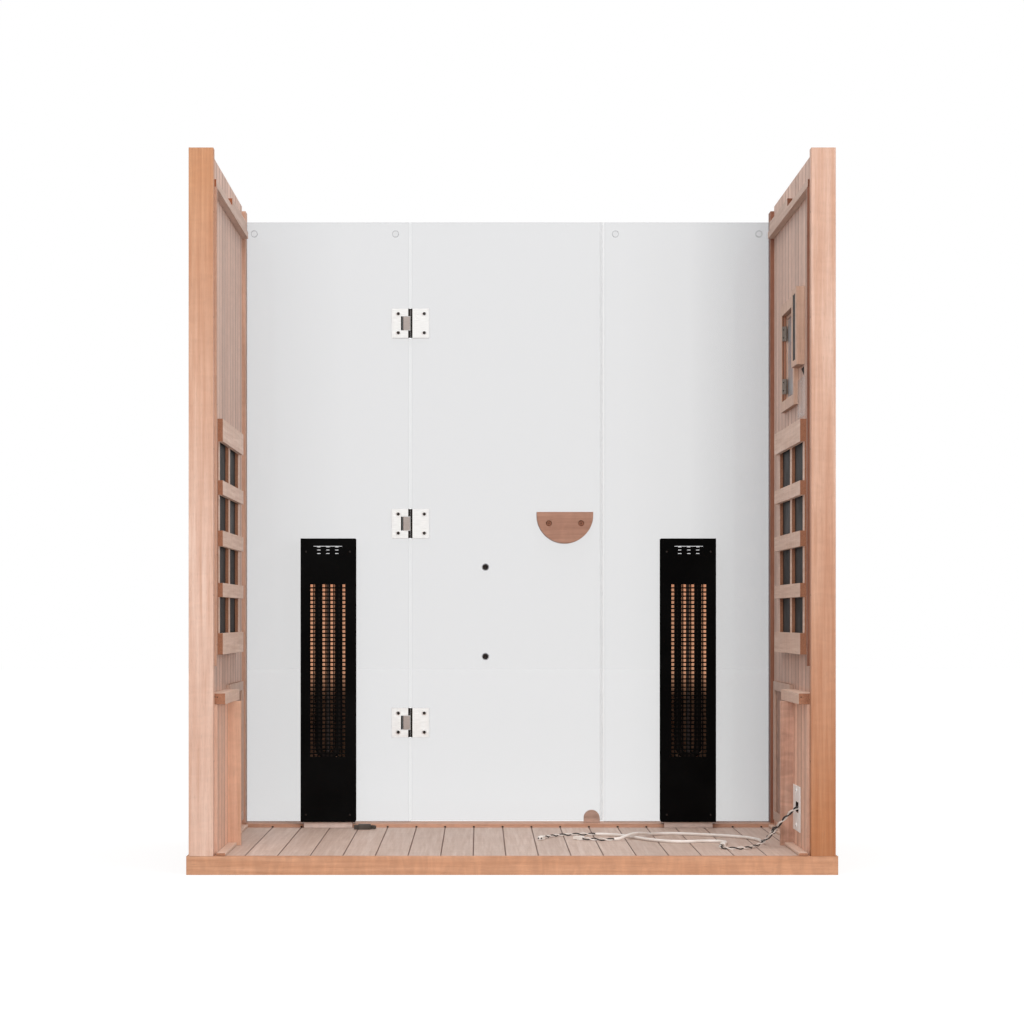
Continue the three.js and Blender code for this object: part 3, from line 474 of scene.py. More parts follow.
WARM = (colour(215, 162, 129), colour(194, 140, 107), colour(172, 118, 88))
PINK = (colour(214, 186, 170), colour(190, 160, 143), colour(176, 138, 118))
rail_wood = wood("rail_wood", *WARM, X_AXIS, figure=0.1)
front_rail_wood = wood("front_rail_wood", colour(216, 170, 146), colour(190, 146, 122), WARM[2], X_AXIS)
side_rail_wood = wood("side_rail_wood", *WARM, Y_AXIS)
deck_wood = wood(
    "deck_wood", colour(215, 193, 180), colour(196, 172, 158), PINK[2], Y_AXIS,
    boards=(X_AXIS, FLOOR_SEAM, BOARD_PITCH, 0.0044), figure=0.05, variation=0.06,
)
clothe(rail_wood, "base_rear_rail")
clothe(front_rail_wood, "base_front_rail")
clothe(side_rail_wood, "base_left_rail", "base_right_rail")
clothe(deck_wood, "floor_deck")
seam_dark = moulded("seam_dark", colour(44, 30, 26), colour(34, 24, 20), 0.8)
SEAM_END_HALF = 2.8
SEAM_END_DEPTHS = (1042.5, 1044.6)

ends = bmesh.new()
for seam in range(-8, 10):
    seam_x = 1000 * (FLOOR_SEAM + seam * BOARD_PITCH)
    low = at(seam_x - SEAM_END_HALF, SEAM_END_DEPTHS[0], DECK_TOP + 0.05)
    add_bar(ends, low, at(seam_x + SEAM_END_HALF, SEAM_END_DEPTHS[1], DECK_TOP + 4), 0.0004)
make_piece("deck_seam_ends", ends, [seam_dark], "cabin")


# Each side wall is an insulated panel boarded on both faces, closed at the rear by a wide stile
# with a flamed figure and at the front by the post that holds the glass.
WALL_SEAM = (38.3 + BOARD_PITCH * 500 - HALF_DEPTH) / 1000
SIDES = {"left": -1, "right": 1}
STILE = {
    "left": (colour(236, 202, 184), colour(212, 168, 146), colour(186, 140, 114)),
    "right": (colour(228, 194, 176), colour(203, 159, 136), colour(178, 132, 106)),
}
# Painted shade: the left stile darkens and warms towards the top, the right one towards the bottom.
PAINTED_SHADE_FADES = {
    "left": (0.9, 1.85, (0.77, 0.57, 0.39, 1)),
    "right": (1.5, 0.12, (0.67, 0.43, 0.25, 1)),
}
# Painted shade: the posts and battens are darkened as in shadow, the right side a darker copy of the left.
POST_PAINTED_SHADE = {
    "left": (colour(214, 174, 152), colour(186, 146, 125), colour(168, 104, 74)),
    "right": (colour(160, 112, 90), colour(132, 88, 70), colour(132, 86, 66)),
}
stile_wood = {
    name: wood(f"{name}_stile_wood", *tones, Z_AXIS, figure=0.04, painted_light_fade=PAINTED_SHADE_FADES[name])
    for name, tones in STILE.items()
}
post_wood_painted_shade = {name: wood(f"{name}_post_wood_painted_shade", *tones, Z_AXIS) for name, tones in POST_PAINTED_SHADE.items()}
# Painted light: below 0.44 m the lining is lifted by (1.24, 1.14, 1.06) out of the shade low down.
lining_wood = wood(
    "lining_wood", colour(230, 199, 183), colour(199, 165, 148), PINK[2], Z_AXIS,
    boards=(Y_AXIS, WALL_SEAM, BOARD_PITCH, 0.01), variation=0.1, painted_light_fade=(0.5, 0.44, (1.24, 1.14, 1.06, 1)),
)
outer_wood = wood(
    "outer_wood", *WARM, Z_AXIS, boards=(Y_AXIS, WALL_SEAM, BOARD_PITCH, 0.004), variation=0.08,
)
# The ledge end grain takes each side's post end colour, and with it the right side's painted shade.
ledge_wood = {name: wood(f"{name}_ledge_wood", *PINK[:2], POST_PAINTED_SHADE[name][2], Y_AXIS) for name in SIDES}
hole_dark = moulded("hole_dark", colour(52, 38, 30), colour(34, 24, 20), 0.8)
FILLED_HOLES = (
    (786.5, 48, 0.0022, (1700, 1250, 850, 610)),
    (792.5, 20, 0.0025, (1760, 1480, 1130, 742, 300)),
)

for side_name, side in SIDES.items():
    clothe(stile_wood[side_name], f"{side_name}_rear_stile")
    clothe(post_wood_painted_shade[side_name], f"{side_name}_front_post", f"{side_name}_rear_batten")
    clothe(lining_wood, f"{side_name}_lining")
    clothe(outer_wood, f"{side_name}_wall_panel")
    clothe(ledge_wood[side_name], f"{side_name}_roof_ledge", f"{side_name}_roof_block")


def add_turned(mesh, profile, centre, direction, sides=24, material=0):
    """A turned shape: (radius, height) pairs from its outer edge in to its middle, along a direction."""
    direction = Vector(direction).normalized()
    side = direction.orthogonal().normalized()
    up = direction.cross(side)
    rings = []
    for radius, height in profile:
        centre_here = centre + direction * height
        if radius == 0:
            rings.append([mesh.verts.new(centre_here)])
            continue
        ring = []
        for index in range(sides):
            angle = 2 * math.pi * index / sides
            spoke = math.cos(angle) * side + math.sin(angle) * up
            ring.append(mesh.verts.new(centre_here + radius * spoke))
        rings.append(ring)
    for first, second in zip(rings, rings[1:]):
        for index in range(sides):
            after = (index + 1) % sides
            corners = [first[0]] if len(first) == 1 else [first[index], first[after]]
            corners += [second[0]] if len(second) == 1 else [second[after], second[index]]
            face = mesh.faces.new(corners)
            face.material_index = material
            face.smooth = True


def add_dimple(mesh, centre, direction, radius, material=0):
    profile = [(radius, 0), (radius * 0.8, 0.0003), (radius * 0.5, 0.0002), (0, 0.00015)]
    add_turned(mesh, profile, centre, direction, 14, material)


for side_name, side in SIDES.items():
    dots = bmesh.new()
    for face, depth, radius, heights in FILLED_HOLES:
        for height in heights:
            add_dimple(dots, at(side * face, depth, height), (-side, 0, 0), radius)
    make_piece(f"{side_name}_screw_holes", dots, [hole_dark], "cabin")


# On each wall a flat carbon heater is screwed to the lining behind a guard of planed slats. The
# carbon sheet is dark grey with a faint woven look.
def woven_carbon(name):
    material, tree, principled = new_material(name)
    place = object_coordinates(tree)
    weave = add_node(tree, "ShaderNodeTexChecker", Vector=place, Scale=420)
    cloud = noise(tree, place, Scale=9, Detail=5)
    patches = mapped(tree, cloud, 0.3, 0.7, 0, 1)
    tint = blend_colours(tree, patches, colour(50, 46, 45), colour(40, 37, 36))
    threads = blend_colours(tree, 0.25, tint, weave.outputs["Color"], "MULTIPLY")
    tree.links.new(threads, principled.inputs["Base Color"])
    tree.links.new(mapped(tree, cloud, 0.3, 0.7, 0.5, 0.68), principled.inputs["Roughness"])
    press_relief(tree, principled, weave.outputs["Fac"], 0.3, 0.0002)
    principled.inputs["Specular IOR Level"].default_value = 0.15
    return material


carbon = woven_carbon("woven_carbon")
slat_wood = wood("slat_wood", colour(236, 207, 189), colour(213, 181, 162), colour(176, 122, 94), Y_AXIS)
for side_name in SIDES:
    clothe(carbon, f"{side_name}_heater_panel")
    clothe(slat_wood, f"{side_name}_heater_guard")


# Under bench height each wall has a cleat for the bench seat, a rear-facing bench board with a
# blotchy figure, a thin framed panel in front of it, and low skirting strips nailed along the floor.
CLEAT_NAILS = {"left": ((785, 470), (792, 471)), "right": ((770, 470), (793, 463))}
bench_wood = {
    "left": wood("left_bench_wood", colour(236, 194, 168), colour(212, 168, 142), PINK[2], Z_AXIS),
    "right": wood(
        "right_bench_wood", colour(224, 185, 165), colour(194, 150, 130), PINK[2], Z_AXIS, figure=0.16,
    ),
}
insert_wood = wood("insert_wood", colour(190, 146, 122), colour(156, 112, 90), PINK[2], Z_AXIS, figure=0.2)
frame_wood = wood("frame_wood", *PINK, Z_AXIS)
SKIRTINGS = (((760, 784.7), (0.5, 359.5)), ((784, 806.2), (381, 1044.5)))
LOWER_PANEL = {"depths": (550, 1000), "heights": (77, 492), "member": 27, "face": 794.5, "back": 806.2}

for side_name, side in SIDES.items():
    clothe(slat_wood, f"{side_name}_bench_cleat")
    clothe(bench_wood[side_name], f"{side_name}_bench_board")

    nails = bmesh.new()
    for x, height in CLEAT_NAILS[side_name]:
        add_dimple(nails, at(side * x, 38.5, height), (0, -1, 0), 0.0018)
    make_piece(f"{side_name}_cleat_nails", nails, [hole_dark], "cabin")

    face, back = side * LOWER_PANEL["face"], side * LOWER_PANEL["back"]
    (near, far), (low, high) = LOWER_PANEL["depths"], LOWER_PANEL["heights"]
    member = LOWER_PANEL["member"]
    surround = bmesh.new()
    inside = (near + member, far - member)
    for (start, end), (bottom, top) in (
        ((near, inside[0]), (low, high)), ((inside[1], far), (low, high)),
        (inside, (low, low + member)), (inside, (high - member, high)),
    ):
        add_bar(surround, at(min(face, back), start, bottom), at(max(face, back), end, top), 0.0012)
    make_piece(f"{side_name}_lower_frame", surround, [frame_wood], "cabin")
    insert = bmesh.new()
    inner = sorted((side * (LOWER_PANEL["face"] + 6), back))
    corners = at(inner[0], inside[0], low + member), at(inner[1], inside[1], high - member)
    add_bar(insert, *corners, 0.0006)
    make_piece(f"{side_name}_lower_insert", insert, [insert_wood], "cabin")

    skirting = bmesh.new()
    for (inner_x, outer_x), (start, end) in SKIRTINGS:
        strip = sorted((side * inner_x, side * outer_x))
        add_bar(skirting, at(strip[0], start, DECK_TOP + 0.3), at(strip[1], end, DECK_TOP + 9), 0.0025)
    make_piece(f"{side_name}_skirting", skirting, [slat_wood], "cabin")


# The front is three panes of clear tempered glass, eight millimetres thick, with ground edges.
# Round clear grommets line the holes near the top of the fixed panes.
GLASS_FACES = ((1120, -1), (1128, 1))
GLASS_REACH = 0.8
# Alpha across X: the glass's own grey tint in the middle, heavier near the side walls as a painted
# reflection of the linings.
GLASS_TINT_AND_PAINTED_REFLECTION = ((-0.78, 0.23), (-0.5, 0.17), (0.35, 0.155), (0.55, 0.18), (0.78, 0.34))
GROMMETS = (-771.7, -342, 327, 763.6)
GROMMET_HEIGHT = 1849.5
GROMMET_LIP = [(0.0102, 0.0001), (0.0102, 0.0012), (0.0096, 0.0018), (0.009, 0.001)]


def clear_glass(name, node, thickness):
    """Clear glass for one pane. thickness is how much of the light each face holds back, across X: the
    glass's own grey tint, heavier towards both side walls as a painted reflection of the wood linings.
    """
    material, tree, principled = new_material(name)
    low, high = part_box(node)
    place = object_coordinates(tree)
    across = part_along(tree, place, X_AXIS)
    ramp = tree.nodes.new("ShaderNodeValToRGB")
    stops = ramp.color_ramp.elements
    while len(stops) < len(thickness):
        stops.new(0.5)
    for stop, (x, value) in zip(stops, thickness):
        stop.position = (x + GLASS_REACH) / (2 * GLASS_REACH)
        stop.color = (value, value, value, 1)
    tree.links.new(mapped(tree, across, -GLASS_REACH, GLASS_REACH, 0, 1), ramp.inputs[0])

    from_middle = math_node(tree, "SUBTRACT", across, (low.x + high.x) / 2)
    half = (high.x - low.x) / 2
    rim = mapped(tree, math_node(tree, "ABSOLUTE", from_middle), half - 0.006, half - 0.001, 0, 1)
    ground = mapped(tree, facing(tree, Y_AXIS), 0.2, 0.8, 1, 0)
    edge = math_node(tree, "MAXIMUM", ground, math_node(tree, "MULTIPLY", rim, 0.07))
    alpha = blend_colours(tree, edge, ramp.outputs[0], (0.5, 0.5, 0.5, 1))
    tree.links.new(alpha, principled.inputs["Alpha"])
    tint = blend_colours(tree, ground, (0.285, 0.295, 0.325, 1), colour(186, 198, 198))
    tree.links.new(tint, principled.inputs["Base Color"])
    smear = noise(tree, place, Scale=5, Detail=5)
    tree.links.new(mapped(tree, smear, 0.3, 0.7, 0.02, 0.07), principled.inputs["Roughness"])
    principled.inputs["Specular IOR Level"].default_value = 0.5
    return material


def see_through(material, alpha):
    material.node_tree.nodes["Principled BSDF"].inputs["Alpha"].default_value = alpha
    return material


for pane in ("left_glass", "door_glass", "right_glass"):
    clothe(clear_glass(f"{pane}_clear", pane, GLASS_TINT_AND_PAINTED_REFLECTION), pane)
ring_clear = see_through(moulded("ring_clear", colour(140, 143, 150), colour(128, 131, 138), 0.3), 0.36)
web_clear = clear_glass("web_clear", "door_glass", GLASS_TINT_AND_PAINTED_REFLECTION)

rings = bmesh.new()
for place_x in GROMMETS:
    for face_depth, way in GLASS_FACES:
        centre = at(place_x, face_depth, GROMMET_HEIGHT)
        add_turned(rings, GROMMET_LIP, centre, (0, way, 0), 28)
        web_radius, web_height = GROMMET_LIP[-1]
        add_turned(rings, [(web_radius, web_height), (0, web_height)], centre, (0, way, 0), 28, 1)
make_piece("glass_grommets", rings, [ring_clear, web_clear], "cabin")


# Three glass-to-glass hinges in satin steel hang the door on the left pane. Each leaf clamps the
# glass between two plates with two socket screws, and a rubber gasket shows round its edges.
def brushed_metal(name, base, roughness, along=X_AXIS, metallic=1.0):
    material, tree, principled = new_material(name)
    place = object_coordinates(tree)
    lines = stretched_noise(tree, place, along, 0.05, Scale=900, Detail=3)
    cloud = noise(tree, place, Scale=60, Detail=3)
    sheen = blend_colours(tree, mapped(tree, lines, 0.35, 0.65, 0, 1), shaded(base, 0.86), base)
    tree.links.new(sheen, principled.inputs["Base Color"])
    principled.inputs["Metallic"].default_value = metallic
    dullness = mapped(tree, cloud, 0.3, 0.7, roughness - 0.05, roughness + 0.07)
    tree.links.new(dullness, principled.inputs["Roughness"])
    press_relief(tree, principled, lines, 0.15, 0.0001, 0.0009)
    return material


satin_steel = brushed_metal("satin_steel", colour(255, 254, 252), 0.32, X_AXIS, 0.9)
screw_dark = brushed_metal("screw_dark", colour(62, 58, 56), 0.4)
HINGES = {"top": 1577, "middle": 968, "bottom": 363}
PIN_X = -307.3
PIN_DEPTH = 1124
rubber = moulded("rubber", colour(24, 17, 15), colour(16, 12, 11), 0.7)
knuckle_steel = brushed_metal("knuckle_steel", colour(196, 184, 178), 0.45)
HINGE_GASKETS = {
    "wall": (
        (4, 10.6, -9.4, -4.5, 21.6, 44.3, 0),
        (4, 10.6, -9.4, -4.5, -44.3, -21.6, 0),
        (-17.8, -13.7, -8, 8, -20.8, 20.8, 0),
    ),
    "door": (
        (10.9, 17.2, -9.4, -6.2, -44.3, 44.3, 0),
        (-13.3, -9.6, -1.5, 1.5, -20.8, 20.8, 0),
        (-10.8, 9.3, -9.8, -9.55, -20.3, 20.3, 1),
    ),
}
HINGE_SCREWS = {"wall": (-26, "cabin"), "door": (53, "door")}
HINGE_SCREW_RISES = (-29, 29)
PLATE_FACES = ((1115, -1), (1133, 1))


def add_socket_screw(mesh, centre, direction, radius, head=0, recess=1):
    """A low screw head with its hexagon recess drawn as a flat dark hexagon, painted shade; head and recess
    choose among the piece's finishes.
    """
    direction = Vector(direction)
    top = 0.0008
    dome = [(radius, 0), (radius, 0.0003), (radius * 0.86, 0.0007), (radius * 0.62, top), (0, top)]
    add_turned(mesh, dome, centre, direction, 24, head)
    # Painted shade: the recess is a low dark hexagon on the head, not a hollow.
    hexagon = [(radius * 0.74, 0), (radius * 0.72, 0.0002), (0, 0.00015)]
    add_turned(mesh, hexagon, centre + direction * top, direction, 6, recess)


for hinge_name, height in HINGES.items():
    for leaf, (offset, body) in HINGE_SCREWS.items():
        clothe(satin_steel, f"hinge_{hinge_name}_{leaf}_leaf")
        screws = bmesh.new()
        for face_depth, way in PLATE_FACES:
            for rise in HINGE_SCREW_RISES:
                centre = at(PIN_X + offset, face_depth, height + rise)
                add_socket_screw(screws, centre, (0, way, 0), 0.0072)
        screw_finish = [satin_steel, socket_dark]
        make_piece(f"hinge_{hinge_name}_{leaf}_screws", screws, screw_finish, body)
        gaskets = bmesh.new()
        for left, right, near, far, low, high, finish in HINGE_GASKETS[leaf]:
            start = at(PIN_X + left, PIN_DEPTH + near, height + low)
            end = at(PIN_X + right, PIN_DEPTH + far, height + high)
            add_bar(gaskets, start, end, min(0.0006, (far - near) / 3000), finish)
        gasket_finish = [rubber, knuckle_steel]
        make_piece(f"hinge_{hinge_name}_{leaf}_gaskets", gaskets, gasket_finish, body)


# The door carries a half-round wooden handle on each face, through-screwed, a clear seal on its
# free edge, and two small dark through bolts. Clear strips close the gaps to the fixed panes, and
# a half-round wooden stop stands on the threshold.
HANDLE_WOOD = (colour(197, 153, 132), colour(167, 125, 106), colour(160, 117, 97))
handle_wood = wood("handle_wood", *HANDLE_WOOD, X_AXIS, gloss=0.45)
stop_wood = wood("stop_wood", colour(204, 176, 162), colour(176, 146, 131), PINK[2], X_AXIS)
plug_wood = wood("plug_wood", colour(178, 126, 100), colour(150, 102, 80), colour(166, 114, 90), Y_AXIS)
plug_dark = moulded("plug_dark", colour(112, 74, 58), colour(94, 62, 48), 0.7)
seal_clear = moulded("seal_clear", colour(234, 235, 237), colour(224, 226, 228), 0.3)
seal_tree = seal_clear.node_tree
out_along_lip = part_along(seal_tree, object_coordinates(seal_tree), X_AXIS)
seal_alpha = seal_tree.nodes["Principled BSDF"].inputs["Alpha"]
seal_tree.links.new(mapped(seal_tree, out_along_lip, 0.287, 0.288, 0.05, 0.23), seal_alpha)
gap_clear = see_through(moulded("gap_clear", colour(202, 205, 208), colour(192, 195, 198), 0.3), 0.18)
clothe(handle_wood, "handle_inside", "handle_outside")
clothe(stop_wood, "door_stop")
clothe(seal_clear, "door_seal")
HANDLE_SCREWS = ((123.8, 968), (221.8, 968))
HANDLE_FACE = 1097.4
BOLTS = ((-68.3, 836), (-68.3, 564))
BOLT_WASHER = [(0.0115, 0), (0.0115, 0.0012), (0.0105, 0.0018), (0, 0.0018)]
BOLT_HEAD = [(0.0088, 0), (0.0088, 0.004), (0.0074, 0.0058), (0.004, 0.0064), (0.0036, 0.005), (0, 0.005)]
SCREW_HEAD = [(0.0086, 0), (0.0086, 0.003), (0.0078, 0.0042), (0.003, 0.0046), (0, 0.0046)]
HINGE_GAP = (-299.7, -294.5)
SEAL_GAP = (291.5, 293.2)
GLASS_SPAN = (56, 1884)
HINGE_CLEAR = 47

strips = bmesh.new()
stops = [GLASS_SPAN[0]]
for height in sorted(HINGES.values()):
    stops += [height - HINGE_CLEAR, height + HINGE_CLEAR]
stops.append(GLASS_SPAN[1])
for low, high in zip(stops[::2], stops[1::2]):
    add_bar(strips, at(HINGE_GAP[0], 1122, low), at(HINGE_GAP[1], 1126, high), 0.0004)
add_bar(strips, at(SEAL_GAP[0], 1121.5, GLASS_SPAN[0]), at(SEAL_GAP[1], 1126.5, GLASS_SPAN[1]), 0.0003)
make_piece("glass_edge_strips", strips, [gap_clear], "cabin")

screws = bmesh.new()
for screw_x, height in HANDLE_SCREWS:
    centre = at(screw_x, HANDLE_FACE, height)
    add_turned(screws, SCREW_HEAD, centre, (0, -1, 0), 24, 0)
    add_dimple(screws, centre - Vector((0, SCREW_HEAD[-1][1], 0)), (0, -1, 0), 0.0028, 1)
make_piece("handle_screws", screws, [plug_wood, plug_dark], "door")

bolts = bmesh.new()
for bolt_x, height in BOLTS:
    for face_depth, way in GLASS_FACES:
        centre = at(bolt_x, face_depth, height)
        add_turned(bolts, BOLT_WASHER, centre, (0, way, 0), 28, 1)
        add_turned(bolts, BOLT_HEAD, centre + Vector((0, way * BOLT_WASHER[-1][1], 0)), (0, way, 0), 28, 0)
make_piece("door_bolts", bolts, [screw_dark, ring_clear], "door")


# Two tower heaters stand on wooden feet against the glass. A black powder-coated housing holds a
# copper reflector of two troughs with a hairpin element in front, behind a perforated front plate.
TOWER_X = 542
TOWER_FACE = 1010
TOWER_FRONT = (82, 68, 920)
TOWER_SCREWS = ((-66, 880), (-66, 90), (66, 880), (66, 90))
PAINTED_LIGHT_HEIGHTS = (0.44, 0.52)
GRILLE_COLUMNS = 9
GRILLE_PITCH = 12
GRILLE_HOLE = 8.2
GRILLE_ROWS = 42
GRILLE_LOW = 264
ROW_PITCH = 12.43
VENT_LINE = (43, 896.5, 1.6)
VENT_ROWS = (894.4, 885.2, 874.7)
VENT_SLOT = (10, 2.1)
VENT_SPREAD = 27


def powder_coat(name, base, roughness):
    material, tree, principled = new_material(name)
    place = object_coordinates(tree)
    dust = noise(tree, place, Scale=8, Detail=6)
    worn = (*(channel * 1.7 + 0.001 for channel in base[:3]), 1)
    film = mapped(tree, dust, 0.4, 0.75, 0, 0.6)
    tree.links.new(blend_colours(tree, film, base, worn), principled.inputs["Base Color"])
    dullness = mapped(tree, dust, 0.3, 0.7, roughness - 0.05, roughness + 0.08)
    tree.links.new(dullness, principled.inputs["Roughness"])
    press_relief(tree, principled, noise(tree, place, Scale=650, Detail=2), 0.25, 0.00015, 0.0008)
    principled.inputs["Specular IOR Level"].default_value = 0.0
    return material


def reflector_copper(name):
    """Drawn copper sheet: painted shade low down, a painted glow above it for the light it throws back, and
    a painted dark brown reflection of the front plate along its ridge.
    """
    material = brushed_metal(name, colour(255, 198, 160), 0.3, Z_AXIS, 0.15)
    tree = material.node_tree
    inputs = tree.nodes["Principled BSDF"].inputs
    place = object_coordinates(tree)
    height = part_along(tree, place, Z_AXIS)
    drawn = inputs["Base Color"].links[0].from_socket
    # Painted shade: below the lower height the sheet is darkened to 0.4 of its colour.
    painted_shade_low = mapped(tree, height, *PAINTED_LIGHT_HEIGHTS, 0.4, 1.0)
    sheet = add_node(tree, "ShaderNodeHueSaturation", Color=drawn, Value=painted_shade_low).outputs[0]
    off_centre = math_node(tree, "ABSOLUTE", part_along(tree, place, X_AXIS))
    from_ridge = math_node(tree, "ABSOLUTE", math_node(tree, "SUBTRACT", off_centre, TOWER_X / 1000))
    # Painted reflection: within 5 mm of the ridge the sheet is dark brown, as the dark front plate would
    # show in it.
    beside_ridge = mapped(tree, from_ridge, 0.005, 0.007, 0, 1)
    shine = blend_colours(tree, beside_ridge, colour(58, 42, 34), sheet)
    tree.links.new(shine, inputs["Base Color"])
    # Painted light: above the heights the sheet glows in its own colour, though it is no lamp.
    tree.links.new(shine, inputs["Emission Color"])
    tree.links.new(mapped(tree, height, *PAINTED_LIGHT_HEIGHTS, 0, 0.36), inputs["Emission Strength"])
    return material


black_coat = powder_coat("black_coat", colour(13, 13, 13), 0.5)
element_coat = powder_coat("element_coat", colour(36, 31, 29), 0.6)
copper = reflector_copper("copper")
# Painted light: the feet are paler than their wood, to lift them out of the towers' shadow.
foot_wood_painted_light = wood("foot_wood_painted_light", colour(255, 236, 226), colour(234, 210, 198), PINK[2], X_AXIS)


def slotted_plate(name, left, right, low, high, holes, depth, thickness):
    """A flat plate with rectangular holes, laid out as a grid of cells with the holes left open."""
    xs = sorted({left, right, *(x for hole in holes for x in hole[:2])})
    zs = sorted({low, high, *(z for hole in holes for z in hole[2:])})
    mesh = bmesh.new()
    corners = {}

    def corner(x, z):
        if (x, z) not in corners:
            corners[x, z] = mesh.verts.new(at(x, depth, z))
        return corners[x, z]

    open_cells = set()
    for x0, x1, z0, z1 in holes:
        for i, x in enumerate(xs[:-1]):
            if x0 <= x < x1:
                open_cells.update((i, j) for j, z in enumerate(zs[:-1]) if z0 <= z < z1)
    for i, (x0, x1) in enumerate(zip(xs, xs[1:])):
        for j, (z0, z1) in enumerate(zip(zs, zs[1:])):
            if (i, j) not in open_cells:
                mesh.faces.new((corner(x0, z0), corner(x1, z0), corner(x1, z1), corner(x0, z1)))
    plate = make_piece(name, mesh, [black_coat], "cabin")
    solid = plate.modifiers.new("sheet", "SOLIDIFY")
    solid.thickness = thickness
    solid.offset = 1
    return plate


for side_name, side in SIDES.items():
    centre_x = side * TOWER_X
    clothe(black_coat, f"{side_name}_tower_housing")
    clothe(copper, f"{side_name}_tower_reflector")
    clothe(element_coat, f"{side_name}_tower_element")
    clothe(foot_wood_painted_light, f"{side_name}_tower_foot")

    holes = []
    for column in range(GRILLE_COLUMNS):
        hole_x = centre_x + (column - (GRILLE_COLUMNS - 1) / 2) * GRILLE_PITCH
        for row in range(GRILLE_ROWS):
            bottom = GRILLE_LOW + row * ROW_PITCH
            holes.append((hole_x - GRILLE_HOLE / 2, hole_x + GRILLE_HOLE / 2, bottom, bottom + GRILLE_HOLE))
    half_line, line_height, line_tall = VENT_LINE
    line_low = line_height - line_tall / 2
    holes.append((centre_x - half_line, centre_x + half_line, line_low, line_low + line_tall))
    for vent_height in VENT_ROWS:
        for step in (-1, 0, 1):
            vent_x = centre_x + step * VENT_SPREAD - VENT_SLOT[0] / 2
            vent_low = vent_height - VENT_SLOT[1] / 2
            holes.append((vent_x, vent_x + VENT_SLOT[0], vent_low, vent_low + VENT_SLOT[1]))
    half_front, front_low, front_high = TOWER_FRONT
    edges = centre_x - half_front, centre_x + half_front, front_low, front_high
    plate = slotted_plate(f"{side_name}_tower_front", *edges, holes, TOWER_FACE, 0.002)
    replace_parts(plate, f"{side_name}_tower_grille")

    screws = bmesh.new()
    for screw_x, height in TOWER_SCREWS:
        centre = at(centre_x + screw_x, TOWER_FACE, height)
        add_socket_screw(screws, centre, (0, -1, 0), 0.0032, recess=0)
    make_piece(f"{side_name}_tower_screws", screws, [screw_dark], "cabin")


# High on the right wall a deep frame surrounds the media niche, with a small glass door set back in
# it on two butt hinges; next to it sit the control box and a clear plate. Low down a white moulded
# plate covers the cable outlet.
ring_wood = wood("ring_wood", colour(222, 190, 170), colour(198, 162, 141), PINK[2], Z_AXIS)
reveal_wood = wood("reveal_wood", colour(184, 136, 112), colour(156, 108, 86), PINK[2], Z_AXIS)
clothe(ring_wood, "media_frame", "media_door", "control_box")
media_pane = see_through(moulded("media_pane", colour(196, 196, 200), colour(184, 185, 190), 0.12), 0.86)
clothe(media_pane, "media_glass")
screen_dark = moulded("screen_dark", colour(50, 44, 41), colour(38, 34, 32), 0.6)
screen_dark.node_tree.nodes["Principled BSDF"].inputs["Specular IOR Level"].default_value = 0.15
hinge_grey = brushed_metal("hinge_grey", colour(158, 148, 140), 0.4, Z_AXIS)
acrylic = see_through(moulded("acrylic", colour(236, 236, 236), colour(226, 226, 226), 0.2), 0.17)
cover_white = moulded("cover_white", colour(253, 253, 252), colour(247, 246, 244), 0.38)
MEDIA_HINGES = ((1486, 1529), (1332, 1376))
MEDIA_PIN = (803.5, 741.5)
MEDIA_KNUCKLES = 5
FRAME_LEAF = (794, 801.5)
DOOR_LEAF = ((805.7, 724), (806.9, 738))
LEAF_SCREW_INSET = 10
REVEAL = 745
REVEAL_HEIGHTS = (1309.4, 1558.6)
REVEAL_STRIPS = (
    (793.9, 796.6, 0.5, 0.0001, 0), (796.6, 798.2, 0.2, 0.00004, 1), (798.2, 806.2, 0.5, 0.0001, 0),
)
SCREEN = (at(784.2, 306.5, 1394.5), at(785.9, 371.5, 1576.5))
NOTCH_PAINTED_SHADE = ((356, 1372), (288, 1373), (285, 1347))
CLEAR_PLATE = (at(803.2, 256, 1237), at(806, 424, 1345))
PLATE_SCREWS = (1246, 1336)
COVER = {"depths": (180, 345), "heights": (98, 222), "slot_depths": (212, 302), "slot_heights": (148, 178)}
COVER_FACE = 782
COVER_MIDDLE = 262
COVER_SCREW_INSET = 14
LINING_FACE = 784.7
COVER_BOSS = [(0.009, 0), (0.009, 0.0008), (0.0078, 0.0014), (0, 0.0014)]

reveal = bmesh.new()
for inner_x, outer_x, proud, bevel, finish in REVEAL_STRIPS:
    start = at(inner_x, REVEAL - proud, REVEAL_HEIGHTS[0])
    add_bar(reveal, start, at(outer_x, REVEAL - 0.05, REVEAL_HEIGHTS[1]), bevel, finish)
make_piece("media_frame_reveal", reveal, [reveal_wood, hole_dark], "cabin")

